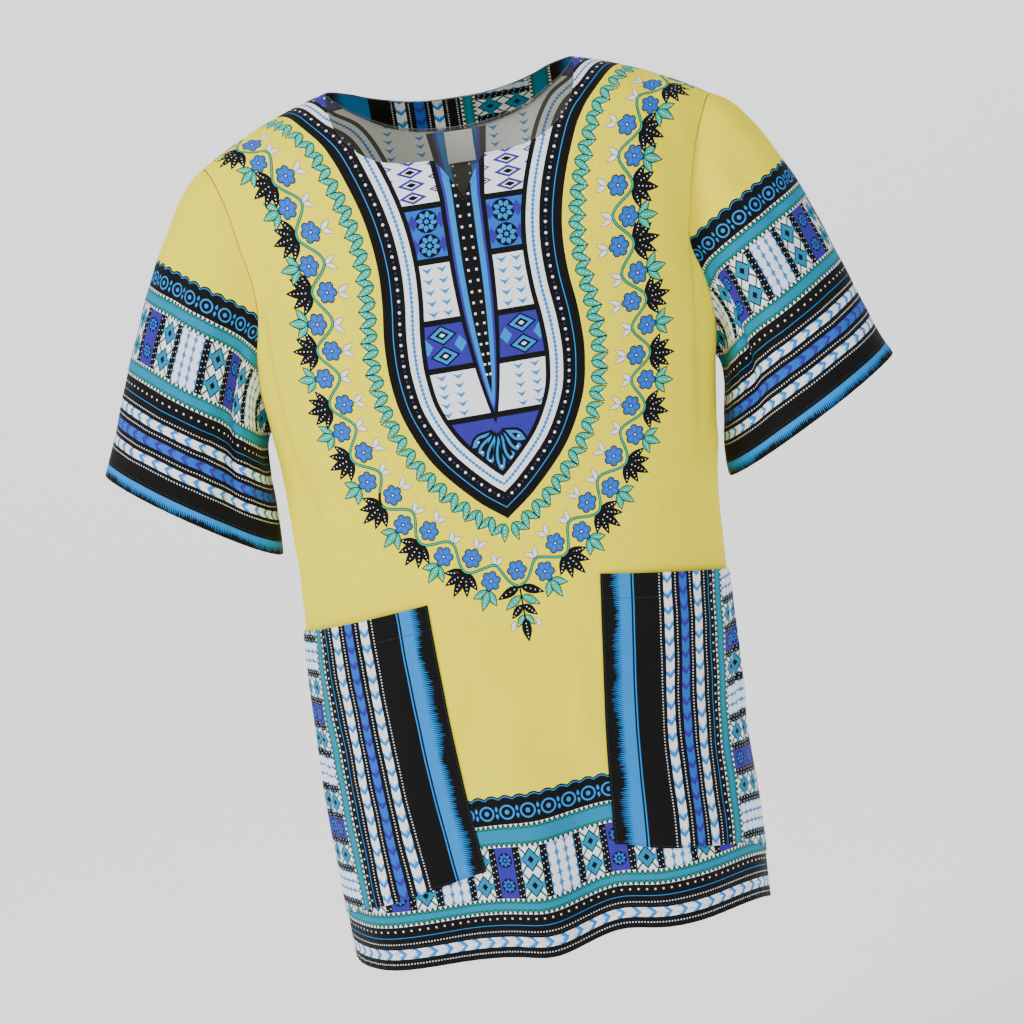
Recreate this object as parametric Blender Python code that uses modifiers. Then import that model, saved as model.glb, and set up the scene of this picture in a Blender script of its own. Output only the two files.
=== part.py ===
"""A loose, collarless dashiki shirt, held in the hollow shape that it takes when it is worn.

Units are metres, +Z is up and the front faces -Y. The origin lies between the two shoulder
seams, where the shirt hangs from its wearer. Each panel is cut flat, as a tailor would cut it
(px across from the centre line, py up from the hem), and one function then drapes it.
"""
import math

import bmesh
import bpy
import numpy as np

# Cloth and seams
WALL = 0.0012
SEAM_GAP = 0.0003
SHOULDER_GAP = 0.0008
LAYER_STEP = WALL + SEAM_GAP

# Body panels, measured on the flat cut
FRONT, BACK = -1, 1
HEM_Z = -0.745
PANEL_HALF = 0.258
BREAK_PY = 0.545
NECK_HALF = 0.104
NECK_PY = 0.797
TIP_PX = 0.216
TIP_PY = 0.724
SEAM_FORWARD = 0.012

# Armhole on the flat cut: it turns in from the armpit, runs up and leans out to the shoulder tip
ARMPIT_PY = 0.470
ARMHOLE_PX = 0.199
TURN_IN_BY, LEAN_OUT_FROM = 0.45, 0.45

# Neckline: the scoop, its back and the open notch at the front
FRONT_SCOOP_PY = 0.672
BACK_SCOOP_PY = 0.735
NOTCH_HALF = 0.021
NOTCH_PY = 0.638
NOTCH_CURVE = 1.2
NECK_SQUARENESS = {FRONT: 3.6, BACK: 2.3}

# Shoulder line as worn
RIDGE_Z = 0.008
TIP_Z = -0.046
RIDGE_FROM = 0.083
RIDGE_DROOP = 0.55
SHOULDER_TILT = 0.034
TILT_FADE = 0.45
TOP_SPREAD = 1.03
FLARE_PAST_TIP = 1.4

# Worn cross-sections of the body, from the hem up
SECTIONS = (
    # z, sway, half width, front depth, back depth
    (-0.745, -0.027, 0.186, 0.126, 0.110),
    (-0.680, -0.025, 0.188, 0.125, 0.111),
    (-0.590, -0.024, 0.188, 0.120, 0.107),
    (-0.490, -0.018, 0.188, 0.116, 0.101),
    (-0.400, -0.011, 0.187, 0.118, 0.100),
    (-0.310, -0.004, 0.193, 0.124, 0.106),
    (-0.200, 0.001, 0.206, 0.127, 0.112),
    (0.010, 0.010, 0.206, 0.127, 0.112),
)
BODY_SQUARENESS = 2.4
USUAL_FLATNESS = 0.6

# From chest to shoulder the cloth rounds over gently at the neck and squarely over the arm
NECK_ARC_SQUARENESS = 2.1
TIP_ARC_SQUARENESS = 3.4

# Largest folds of the body: where each runs on its panel, how wide and deep, between which heights
FOLDS = (
    # panel, px low, px high, half width, out, py low, py high
    (FRONT, -0.022, -0.010, 0.026, 0.013, -0.20, 0.20),
    (FRONT, 0.046, 0.030, 0.024, -0.010, -0.20, 0.22),
    (FRONT, 0.128, 0.110, 0.040, 0.007, -0.18, 0.18),
    (FRONT, -0.092, -0.070, 0.036, -0.009, -0.20, 0.24),
    (FRONT, -0.165, -0.150, 0.030, 0.007, -0.18, 0.20),
    (FRONT, -0.215, -0.175, 0.016, -0.006, 0.22, 0.52),
    (FRONT, 0.205, 0.190, 0.014, -0.006, 0.34, 0.66),
    (FRONT, -0.190, -0.176, 0.014, -0.005, 0.42, 0.68),
    (BACK, 0.000, 0.006, 0.030, -0.009, -0.22, 0.34),
    (BACK, -0.085, -0.060, 0.030, 0.010, -0.20, 0.36),
    (BACK, 0.090, 0.064, 0.032, 0.009, -0.20, 0.32),
    (BACK, -0.170, -0.150, 0.026, -0.008, -0.18, 0.30),
    (BACK, 0.176, 0.150, 0.026, -0.008, -0.18, 0.34),
    (BACK, 0.190, 0.160, 0.016, -0.006, 0.34, 0.64),
    (BACK, -0.190, -0.160, 0.016, -0.006, 0.34, 0.64),
)

# Where the hem hangs lower or higher than level, which dies out upwards
HEM_DROPS = (
    # panel, px, half width, down
    (FRONT, 0.262, 0.050, 0.015),
    (BACK, 0.262, 0.050, 0.015),
    (FRONT, 0.060, 0.026, -0.006),
    (FRONT, -0.006, 0.024, 0.003),
)
HEM_DROP_TOP_PY = 0.24

# Patch pockets on the front, measured on the flat cut
POCKET_TOP_PY = 0.310
POCKET_BOTTOM_PY = 0.076
POCKET_BOTTOM_DROP = 0.038
POCKET_TOP_DROPS = {-1: 0.017, 1: 0.032}
POCKET_INNER_TOP = 0.078
POCKET_INNER_BOTTOM = 0.059
POCKET_GAPE = 0.003
GAPE_FROM = 0.35

# Cuffs as worn, and how the sleeves run to them
CUFFS = {
    # side: (x, y, z, slope of the opening in degrees, half width, half depth, bulge below the shoulder)
    -1: (-0.281, 0.002, -0.333, 35, 0.085, 0.062, 0.50),
    1: (0.269, 0.002, -0.344, 27, 0.089, 0.062, 0.70),
}
ARMHOLE_GAP = 0.0016

# Directions in which a sleeve leaves the armhole and arrives at the cuff: under the arm, then over it
SLEEVE_LEAVES = ((0.72, 0.0, -0.70), (0.90, 0.0, -0.38))
SLEEVE_ARRIVES = ((0.20, 0.0, -0.95), (0.42, 0.0, -0.91))
SLEEVE_SPREAD = 0.30
UNDER_ARM_PULL, CUFF_PULL = 0.55, 0.85

# Largest folds of the sleeves: round and along are shares of the way, from the shoulder seam forwards
SLEEVE_FOLDS = (
    # round, half width, out, along low, along high
    (0.335, 0.045, -0.013, 0.10, 1.05),
    (0.200, 0.050, 0.006, 0.00, 0.80),
    (0.720, 0.045, -0.009, 0.10, 1.00),
    (0.860, 0.050, 0.005, 0.10, 0.90),
)

# Neck facing and label, inside the back of the neck
FACING_WALL = 0.0010
LABEL_GAP = 0.0009
LABEL_WIDTH = 0.024
LABEL_LENGTH = 0.031

# How finely the cloth is divided: columns from the centre line to the side, rows from the hem up
NOTCH_COLUMN, POCKET_COLUMN, NECK_COLUMN, SIDE_COLUMN = 3, 5, 8, 16
POCKET_BOTTOM_ROW, POCKET_TOP_ROW, ARMPIT_ROW, FACING_ROW, TOP_ROW = 2, 10, 15, 24, 26
FACING_SHARE = 0.9
SLEEVE_ROWS = 11

PRINT_YELLOW = (0.95, 0.80, 0.03, 1.0)
BORDER_BLUE = (0.02, 0.03, 0.05, 1.0)
LABEL_WHITE = (0.85, 0.85, 0.84, 1.0)


def smooth(x):
    """0 to 1 with level ends."""
    x = np.clip(x, 0.0, 1.0)
    return x * x * (3.0 - 2.0 * x)


def smooth_row(z, column):
    """A column of SECTIONS read at height z, as a smooth curve through its rows."""
    table = np.array(SECTIONS)
    at, value = table[:, 0], table[:, column]
    slope = np.gradient(value, at)
    z = np.clip(z, at[0], at[-1])
    low = np.clip(np.searchsorted(at, z, side="right") - 1, 0, len(at) - 2)
    step = at[low + 1] - at[low]
    t = (z - at[low]) / step
    return (
        value[low] * (2 * t**3 - 3 * t**2 + 1)
        + slope[low] * step * (t**3 - 2 * t**2 + t)
        + value[low + 1] * (3 * t**2 - 2 * t**3)
        + slope[low + 1] * step * (t**3 - t**2)
    )


def quarter_curve(squareness):
    """A quarter of a squared-off oval by share of its length: from (0, 1) round to (1, 0)."""
    angle = np.linspace(0, math.pi / 2, 3000)
    across = np.sin(angle) ** (2 / squareness)
    deep = np.cos(angle) ** (2 / squareness)
    share = np.concatenate([[0], np.cumsum(np.hypot(np.diff(across), USUAL_FLATNESS * np.diff(deep)))])
    return share / share[-1], across, deep


RING = quarter_curve(BODY_SQUARENESS)
NECK_ARC = quarter_curve(NECK_ARC_SQUARENESS)
TIP_ARC = quarter_curve(TIP_ARC_SQUARENESS)


def shoulder_py(px):
    """Height of the shoulder ridge on the flat cut."""
    out = np.clip((np.abs(px) - NECK_HALF) / (TIP_PX - NECK_HALF), 0.0, FLARE_PAST_TIP)
    return NECK_PY + (TIP_PY - NECK_PY) * out


def shoulder_z(px):
    """Height of the shoulder ridge as worn."""
    out = np.clip((np.abs(px) - RIDGE_FROM) / (TIP_PX - RIDGE_FROM), 0.0, FLARE_PAST_TIP)
    return RIDGE_Z + (TIP_Z - RIDGE_Z) * ((1 - RIDGE_DROOP) * out + RIDGE_DROOP * out**2)


def body_surface(px, py, panel):
    """The worn place of a point of the flat cut, before folds.

    Past the shoulder ridge the cloth runs down the other side of the body.
    """
    ridge = shoulder_py(px)
    over = py > ridge
    return half_surface(px, np.where(over, 2 * ridge - py, py), np.where(over, -panel, panel))


def half_surface(px, py, panel):
    """The worn place of a point between the hem and the shoulder ridge, before folds."""
    share = np.abs(px) / PANEL_HALF
    across, deep = np.interp(share, RING[0], RING[1]), np.interp(share, RING[0], RING[2])
    rise = np.clip((py - BREAK_PY) / (shoulder_py(px) - BREAK_PY), 0.0, 1.0)
    outer = smooth((np.abs(px) - NECK_HALF / 2) / (TIP_PX - NECK_HALF / 2))
    near_neck = [np.interp(rise, NECK_ARC[0], NECK_ARC[k]) for k in (1, 2)]
    near_tip = [np.interp(rise, TIP_ARC[0], TIP_ARC[k]) for k in (1, 2)]
    up, inward = ((1 - outer) * neck + outer * tip for neck, tip in zip(near_neck, near_tip))
    straight_z = HEM_Z + np.minimum(py, BREAK_PY)
    z = straight_z + (shoulder_z(px) - HEM_Z - BREAK_PY) * up
    flat = smooth(rise)
    width = smooth_row(straight_z, 2)
    x = np.sign(px) * ((1 - flat) * width * across + flat * np.abs(px) * TOP_SPREAD)
    depth = np.where(panel == FRONT, smooth_row(straight_z, 3), smooth_row(straight_z, 4))
    y = panel * depth * deep * inward
    sway = smooth_row(z, 1)
    tilt = SHOULDER_TILT * smooth(1 + z / TILT_FADE)
    return np.stack([x + sway, y, z - tilt * x - hem_drop(px, py, panel)], axis=-1)


def hem_drop(px, py, panel):
    """How far a point hangs below its level, by the table of the hem."""
    down = 0.0
    for side, middle, half, drop in HEM_DROPS:
        down = down + drop * np.exp(-(((px - middle) / half) ** 2)) * (panel == side)
    return down * smooth(1 - py / HEM_DROP_TOP_PY)


def fold_depth(px, py, panel):
    """How far the folds move a point of a panel outwards."""
    out = np.zeros(np.broadcast(px, py).shape)
    for side, low, high, half, depth, start, end in FOLDS:
        if side != panel:
            continue
        along = (py - start) / (end - start)
        middle = low + (high - low) * np.clip(along, 0, 1)
        fade = np.sin(math.pi * np.clip(along, 0, 1)) ** 1.2
        out = out + depth * fade * np.exp(-(((px - middle) / half) ** 2))
    return out


def drape(px, py, panel, lift=0.0):
    """The worn place of a point of the flat cut, folds included, lifted off the cloth by lift."""
    px, py = np.asarray(px, float), np.asarray(py, float)
    step = 0.0015
    place = body_surface(px, py, panel)
    along_x = body_surface(px + step, py, panel) - body_surface(px - step, py, panel)
    along_y = body_surface(px, py + step, panel) - body_surface(px, py - step, panel)
    normal = np.cross(along_x, along_y) * -panel
    normal /= np.maximum(np.linalg.norm(normal, axis=-1, keepdims=True), 1e-12)
    return place + normal * (fold_depth(px, py, panel) + lift)[..., None]


def armhole(share):
    """The armhole's edge on the flat cut, from the armpit at 0 to the shoulder tip at 1."""
    share = np.asarray(share, float)
    turned = np.sin(np.clip(share / TURN_IN_BY, 0, 1) * math.pi / 2)
    leaned = smooth((share - LEAN_OUT_FROM) / (1 - LEAN_OUT_FROM))
    px = PANEL_HALF + (ARMHOLE_PX - PANEL_HALF) * turned + (TIP_PX - ARMHOLE_PX) * leaned
    return px, ARMPIT_PY + (TIP_PY - ARMPIT_PY) * share


def seam_shift(share, panel):
    """How far the armhole's top end moves towards the front, to meet the shoulder seam."""
    return SEAM_FORWARD * panel * np.asarray(share, float) ** 6


def neckline(share, panel):
    """The neck's edge on the flat cut, from the centre at 0 to the shoulder seam at 1."""
    share = np.asarray(share, float)
    scoop = FRONT_SCOOP_PY if panel == FRONT else BACK_SCOOP_PY
    top = NECK_PY + SEAM_FORWARD * panel
    angle = share * math.pi / 2
    px = NECK_HALF * np.sin(angle) ** (2 / NECK_SQUARENESS[panel])
    py = top - (top - scoop) * np.cos(angle) ** (2 / NECK_SQUARENESS[panel])
    if panel == FRONT:
        in_notch = np.clip(1 - px / NOTCH_HALF, 0, 1)
        py = py - (FRONT_SCOOP_PY - NOTCH_PY) * in_notch**NOTCH_CURVE
    return px, py


def even_steps(*stops):
    """Numbers that run evenly between (index, value) stops."""
    index = [stop[0] for stop in stops]
    return np.interp(np.arange(index[-1] + 1), index, [stop[1] for stop in stops])


def armhole_steps():
    """Shares of the way up the armhole at which the panels and the sleeves have points."""
    return even_steps((0, 0), (FACING_ROW - ARMPIT_ROW, FACING_SHARE), (TOP_ROW - ARMPIT_ROW, 1))


def pocket_inner(py):
    """The slanting line on the flat cut that the pocket's inner edge follows."""
    up = (py - POCKET_BOTTOM_PY) / (POCKET_TOP_PY - POCKET_BOTTOM_PY)
    return POCKET_INNER_BOTTOM + (POCKET_INNER_TOP - POCKET_INNER_BOTTOM) * up


def top_edge(panel):
    """Points along the neck and the shoulder seam on the flat cut, one for each column."""
    corner = 1 - np.linspace(0, 1, 2001)
    if panel == FRONT:
        px, _ = neckline(corner, FRONT)
        notch_share = np.interp(-NOTCH_HALF, -px, corner)
    else:
        notch_share = NOTCH_COLUMN / NECK_COLUMN
    share = even_steps((0, 0), (NOTCH_COLUMN, notch_share), (NECK_COLUMN, 1), (SIDE_COLUMN, 1))
    neck = np.stack(neckline(share, panel), -1)
    tip = np.array([TIP_PX, TIP_PY + SEAM_FORWARD * panel])
    out = even_steps((0, 0), (NECK_COLUMN, 0), (SIDE_COLUMN, 1))[:, None]
    seam = np.arange(SIDE_COLUMN + 1)[:, None] >= NECK_COLUMN
    return neck + (tip - neck[-1]) * out - np.array([0, SHOULDER_GAP / 2]) * seam


def panel_cut(panel, side=1):
    """A grid of points over one half of a body panel on the flat cut, as if on its right."""
    out = even_steps((0, 0), (POCKET_COLUMN, 0), (SIDE_COLUMN, 1))
    within = even_steps((0, 0), (POCKET_COLUMN, 1), (SIDE_COLUMN, 1))
    pocket_tops = POCKET_TOP_PY - POCKET_TOP_DROPS[side] * out
    pocket = zip(POCKET_BOTTOM_PY - POCKET_BOTTOM_DROP * out, pocket_tops)
    heights = np.stack([
        even_steps((0, 0), (POCKET_BOTTOM_ROW, low), (POCKET_TOP_ROW, high), (ARMPIT_ROW, ARMPIT_PY))
        for low, high in pocket
    ], 1)
    inner = pocket_inner(heights)
    seam = PANEL_HALF - SEAM_GAP / 2
    lower = np.stack([inner * within + (seam - inner) * out, heights], -1)
    rise = armhole_steps()[:, None, None]
    top, bottom = top_edge(panel)[None], lower[-1][None]
    edge_px, edge_py = armhole(rise[:, 0, 0])
    edge_py = edge_py + seam_shift(rise[:, 0, 0], panel)
    edge = np.stack([edge_px - SEAM_GAP / 2, edge_py], -1)[:, None]
    edge[-1, 0] = top[0, -1]
    centre = bottom[:, :1] + (top[:, :1] - bottom[:, :1]) * rise
    turn = even_steps((0, 0), (SIDE_COLUMN, 1))[None, :, None]
    corners = (
        (1 - turn) * (1 - rise) * bottom[:, :1]
        + turn * (1 - rise) * bottom[:, -1:]
        + (1 - turn) * rise * top[:, :1]
        + turn * rise * top[:, -1:]
    )
    upper = (1 - rise) * bottom + rise * top + (1 - turn) * centre + turn * edge - corners
    half = np.concatenate([lower[:-1], upper])
    return half[..., 0], half[..., 1]


def clear_scene():
    for thing in list(bpy.data.objects):
        bpy.data.objects.remove(thing)


def cloth_material(name, colour):
    material = bpy.data.materials.new(name)
    material.use_nodes = True
    shader = material.node_tree.nodes["Principled BSDF"]
    shader.inputs["Base Color"].default_value = colour
    shader.inputs["Roughness"].default_value = 0.85
    shader.inputs["Metallic"].default_value = 0.0
    return material


def cloth_grid(name, points, material, collection, wall=WALL, closed=False, flip=False):
    """A grid laid through rows and columns of points and thickened into a wall of cloth."""
    rows, columns = points.shape[:2]
    bpy.ops.mesh.primitive_grid_add(x_subdivisions=columns - 1, y_subdivisions=rows - 1, size=2)
    cloth = bpy.context.active_object
    cloth.name = cloth.data.name = name
    mesh = cloth.data
    flat = np.array([v.co for v in mesh.vertices])
    column = np.rint((flat[:, 0] + 1) / 2 * (columns - 1)).astype(int)
    row = np.rint((flat[:, 1] + 1) / 2 * (rows - 1)).astype(int)
    mesh.vertices.foreach_set("co", points[row, column].astype(np.float32).ravel())
    if closed or flip:
        shape = bmesh.new()
        shape.from_mesh(mesh)
        if closed:
            bmesh.ops.remove_doubles(shape, verts=shape.verts, dist=1e-5)
        if flip:
            bmesh.ops.reverse_faces(shape, faces=shape.faces)
        shape.to_mesh(mesh)
        shape.free()
    mesh.materials.append(material)
    mesh.shade_smooth()
    thicken = cloth.modifiers.new("wall", "SOLIDIFY")
    thicken.thickness = wall
    thicken.offset = 0.0
    thicken.use_even_offset = True
    for owner in list(cloth.users_collection):
        owner.objects.unlink(cloth)
    collection.objects.link(cloth)
    return cloth


def both_halves(left, right, panel, lift=0.0):
    """Worn points of two half grids, the left one mirrored, as one grid from side to side."""
    px, py = left
    mirrored = drape(-px[:, :0:-1], py[:, :0:-1], panel, lift)
    return np.concatenate([mirrored, drape(*right, panel, lift)], axis=1)


def make_body_panel(name, panel, material, collection):
    points = both_halves(panel_cut(panel, -1), panel_cut(panel, 1), panel)
    return cloth_grid(name, points, material, collection, flip=panel == BACK)


def make_pocket(name, side, material, collection):
    """A patch pocket over the front panel's own points, standing off a little at its mouth."""
    px, py = panel_cut(FRONT, side)
    patch = np.s_[POCKET_BOTTOM_ROW : POCKET_TOP_ROW + 1, POCKET_COLUMN:]
    across = np.linspace(0, 1, SIDE_COLUMN - POCKET_COLUMN + 1)[None, :]
    up = np.linspace(0, 1, POCKET_TOP_ROW - POCKET_BOTTOM_ROW + 1)[:, None]
    gape = POCKET_GAPE * smooth((up - GAPE_FROM) / (1 - GAPE_FROM)) * np.sin(math.pi * across) ** 0.7
    points = drape(side * px[patch], py[patch], FRONT, LAYER_STEP + gape)[:, ::side]
    return cloth_grid(name, points, material, collection)


def armhole_ring(share, side):
    """The armhole as worn, from the shoulder seam down the front, under the arm and up the back."""
    rise = np.abs(2 * share - 1)
    px, py = armhole(rise)
    front = drape(side * px, py + seam_shift(rise, FRONT), FRONT)
    back = drape(side * px, py + seam_shift(rise, BACK), BACK)
    return np.where((share < 0.5)[:, None], front, back)


def cuff_ring(share, side):
    """The sleeve's open end as worn, the same way round as the armhole."""
    x, y, z, slope, half_width, half_depth, _ = CUFFS[side]
    turn = share[:, None] * 2 * math.pi
    slope = math.radians(slope)
    reach = np.array([math.cos(slope) * side, 0.0, math.sin(slope)])
    forward = np.array([0.0, -1.0, 0.0])
    return (x, y, z) + np.cos(turn) * half_width * reach + np.sin(turn) * half_depth * forward


def sleeve_surface(share, along, side):
    """The worn sleeve at a share of the way round and along, before folds."""
    start, end = armhole_ring(share, side), cuff_ring(share, side)
    turn = share * 2 * math.pi
    top = 0.5 + 0.5 * np.cos(turn)
    forward = -np.sin(turn)
    distance = np.linalg.norm(end - start, axis=1)
    under_arm, over_arm = ((np.array(way) * (side, 1, 1)) for way in SLEEVE_LEAVES)
    leave = under_arm + (over_arm - under_arm) * top[:, None]
    leave[:, 1] = SLEEVE_SPREAD * forward
    under_arm, over_arm = ((np.array(way) * (side, 1, 1)) for way in SLEEVE_ARRIVES)
    arrive = under_arm + (over_arm - under_arm) * top[:, None]
    bulge = UNDER_ARM_PULL + (CUFFS[side][-1] - UNDER_ARM_PULL) * top
    leave *= (distance * bulge)[:, None]
    arrive *= (distance * CUFF_PULL)[:, None]
    t = along[:, None, None]
    return (
        (2 * t**3 - 3 * t**2 + 1) * start
        + (t**3 - 2 * t**2 + t) * leave
        + (3 * t**2 - 2 * t**3) * end
        + (t**3 - t**2) * arrive
    )


def sleeve_points(side, share, along):
    """The worn sleeve, folds included, as rows along it of points round it."""
    place = sleeve_surface(share, along, side)
    round_way = sleeve_surface(share + 0.001, along, side) - sleeve_surface(share - 0.001, along, side)
    down_way = sleeve_surface(share, along + 0.001, side) - sleeve_surface(share, along - 0.001, side)
    normal = np.cross(round_way, down_way) * side
    normal /= np.maximum(np.linalg.norm(normal, axis=2, keepdims=True), 1e-12)
    out = np.zeros(place.shape[:2])
    for middle, half, depth, low, high in SLEEVE_FOLDS:
        fade = np.sin(math.pi * np.clip((along - low) / (high - low), 0, 1))
        away = (share - middle + 0.5) % 1 - 0.5
        out += depth * fade[:, None] * np.exp(-((away / half) ** 2))[None, :]
    return place + normal * out[..., None]


def make_sleeve(name, side, material, collection):
    rise = armhole_steps()
    share = np.concatenate([(1 - rise[::-1]) / 2, (1 + rise[1:]) / 2])
    rise_round = np.abs(2 * share - 1)
    points = sleeve_points(side, share, np.linspace(0, 1, SLEEVE_ROWS + 1))
    away = points[1] - points[0]
    away /= np.linalg.norm(away, axis=1, keepdims=True)
    away[:, 0] += side * (1 - rise_round)
    points[0] += away / np.linalg.norm(away, axis=1, keepdims=True) * ARMHOLE_GAP
    points[:, -1] = points[:, 0]
    return cloth_grid(name, points, material, collection, closed=True, flip=side > 0)


def make_facing(name, material, collection):
    """The strip of border cloth inside the back of the neck, made from the back panel's points."""
    px, py = panel_cut(BACK)
    strip = np.s_[FACING_ROW:, : NECK_COLUMN + 2]
    layer = -(WALL + FACING_WALL) / 2 - SEAM_GAP
    half = px[strip], py[strip]
    points = both_halves(half, half, BACK, layer)
    return cloth_grid(name, points, material, collection, wall=FACING_WALL, flip=True)


def make_label(name, material, collection):
    """The plain woven label that hangs from the facing at the centre of the back."""
    across = np.linspace(-0.5, 0.5, 4)[None, :] * LABEL_WIDTH
    top = panel_cut(BACK)[1][FACING_ROW, 0] - SEAM_GAP
    py = top - np.linspace(0, 1, 5)[:, None] * LABEL_LENGTH
    layer = -(WALL + FACING_WALL) / 2 - LABEL_GAP
    points = drape(across + 0 * py, py + 0 * across, BACK, layer)
    return cloth_grid(name, points, material, collection, wall=FACING_WALL, flip=True)


def build_shirt():
    clear_scene()
    collection = bpy.data.collections.new("dashiki shirt")
    bpy.context.scene.collection.children.link(collection)
    printed = cloth_material("printed cotton", PRINT_YELLOW)
    border = cloth_material("border cotton", BORDER_BLUE)
    woven = cloth_material("woven label", LABEL_WHITE)
    make_body_panel("front_panel", FRONT, printed, collection)
    make_body_panel("back_panel", BACK, printed, collection)
    make_sleeve("sleeve_right", -1, printed, collection)
    make_sleeve("sleeve_left", 1, printed, collection)
    make_pocket("pocket_right", -1, border, collection)
    make_pocket("pocket_left", 1, border, collection)
    make_facing("neck_facing", border, collection)
    make_label("neck_label", woven, collection)


build_shirt()
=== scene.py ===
# %% [markdown]
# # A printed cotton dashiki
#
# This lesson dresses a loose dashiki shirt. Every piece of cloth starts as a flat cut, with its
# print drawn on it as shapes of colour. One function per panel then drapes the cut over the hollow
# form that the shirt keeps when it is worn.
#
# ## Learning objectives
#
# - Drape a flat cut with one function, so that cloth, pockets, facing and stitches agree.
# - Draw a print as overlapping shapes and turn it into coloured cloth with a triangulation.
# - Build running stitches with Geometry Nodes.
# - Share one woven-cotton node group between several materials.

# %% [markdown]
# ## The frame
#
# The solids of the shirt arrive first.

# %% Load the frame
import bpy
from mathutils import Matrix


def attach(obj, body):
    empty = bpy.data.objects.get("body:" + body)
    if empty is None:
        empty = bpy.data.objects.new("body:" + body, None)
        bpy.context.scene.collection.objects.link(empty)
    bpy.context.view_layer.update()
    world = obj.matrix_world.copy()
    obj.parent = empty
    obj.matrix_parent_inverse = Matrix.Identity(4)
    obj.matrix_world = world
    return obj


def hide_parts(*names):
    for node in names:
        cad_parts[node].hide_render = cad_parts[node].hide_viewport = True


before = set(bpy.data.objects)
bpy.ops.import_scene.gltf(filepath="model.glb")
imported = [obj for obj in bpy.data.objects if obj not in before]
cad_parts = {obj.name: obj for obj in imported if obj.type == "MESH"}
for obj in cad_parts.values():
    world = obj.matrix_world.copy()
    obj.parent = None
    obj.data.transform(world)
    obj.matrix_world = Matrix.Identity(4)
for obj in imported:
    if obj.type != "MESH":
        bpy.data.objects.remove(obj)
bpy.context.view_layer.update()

import math

import bpy
import numpy as np
from mathutils import Matrix, Vector
from mathutils.geometry import delaunay_2d_cdt

# %% [markdown]
# ## The cut and the worn form
#
# Flat cuts are measured in metres: px across from the centre line and py up from the hem. The
# tables below are the same ones that the solids were made from.

# %% Sizes
CLOTH = 0.0006
THIN_CLOTH = 0.0004
SEAM_GAP = 0.0003
FRONT, BACK = -1, 1
HEM_Z = -0.745
PANEL_HALF = 0.258
BREAK_PY = 0.545
NECK_HALF = 0.104
NECK_PY = 0.797
TIP_PX = 0.216
TIP_PY = 0.724
SEAM_FORWARD = 0.012

ARMPIT_PY = 0.470
ARMHOLE_PX = 0.199
TURN_IN_BY, LEAN_OUT_FROM = 0.45, 0.45

FRONT_SCOOP_PY = 0.672
BACK_SCOOP_PY = 0.735
NOTCH_HALF = 0.021
NOTCH_PY = 0.638
NOTCH_CURVE = 1.2
NECK_SQUARENESS = {FRONT: 3.6, BACK: 2.3}

RIDGE_Z = 0.008
TIP_Z = -0.046
RIDGE_FROM = 0.083
RIDGE_DROOP = 0.55
SHOULDER_TILT = 0.034
TILT_FADE = 0.45
TOP_SPREAD = 1.03
FLARE_PAST_TIP = 1.4

SECTIONS = (
    # z, sway, half width, front depth, back depth
    (-0.745, -0.027, 0.186, 0.126, 0.110),
    (-0.680, -0.025, 0.188, 0.125, 0.111),
    (-0.590, -0.024, 0.188, 0.120, 0.107),
    (-0.490, -0.018, 0.188, 0.116, 0.101),
    (-0.400, -0.011, 0.187, 0.118, 0.100),
    (-0.310, -0.004, 0.193, 0.124, 0.106),
    (-0.200, 0.001, 0.206, 0.127, 0.112),
    (0.010, 0.010, 0.206, 0.127, 0.112),
)
BODY_SQUARENESS = 2.4
USUAL_FLATNESS = 0.6
NECK_ARC_SQUARENESS = 2.1
TIP_ARC_SQUARENESS = 3.4

FOLDS = (
    # panel, px low, px high, half width, out, py low, py high
    (FRONT, -0.022, -0.010, 0.026, 0.013, -0.20, 0.20),
    (FRONT, 0.046, 0.030, 0.024, -0.010, -0.20, 0.22),
    (FRONT, 0.128, 0.110, 0.040, 0.007, -0.18, 0.18),
    (FRONT, -0.092, -0.070, 0.036, -0.009, -0.20, 0.24),
    (FRONT, -0.165, -0.150, 0.030, 0.007, -0.18, 0.20),
    (FRONT, -0.215, -0.175, 0.016, -0.006, 0.22, 0.52),
    (FRONT, 0.205, 0.190, 0.014, -0.006, 0.34, 0.66),
    (FRONT, -0.190, -0.176, 0.014, -0.005, 0.42, 0.68),
    (BACK, 0.000, 0.006, 0.030, -0.009, -0.22, 0.34),
    (BACK, -0.085, -0.060, 0.030, 0.010, -0.20, 0.36),
    (BACK, 0.090, 0.064, 0.032, 0.009, -0.20, 0.32),
    (BACK, -0.170, -0.150, 0.026, -0.008, -0.18, 0.30),
    (BACK, 0.176, 0.150, 0.026, -0.008, -0.18, 0.34),
    (BACK, 0.190, 0.160, 0.016, -0.006, 0.34, 0.64),
    (BACK, -0.190, -0.160, 0.016, -0.006, 0.34, 0.64),
)

HEM_DROPS = (
    # panel, px, half width, down
    (FRONT, 0.262, 0.050, 0.015),
    (BACK, 0.262, 0.050, 0.015),
    (FRONT, 0.060, 0.026, -0.006),
    (FRONT, -0.006, 0.024, 0.003),
)
HEM_DROP_TOP_PY = 0.24

POCKET_TOP_PY = 0.310
POCKET_BOTTOM_PY = 0.076
POCKET_BOTTOM_DROP = 0.038
POCKET_TOP_DROPS = {-1: 0.017, 1: 0.032}
POCKET_INNER_TOP = 0.078
POCKET_INNER_BOTTOM = 0.059
POCKET_GAPE = 0.003
GAPE_FROM = 0.35
POCKET_EDGE_LIFT, POCKET_LIFT = 0.0010, 0.0013

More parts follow.
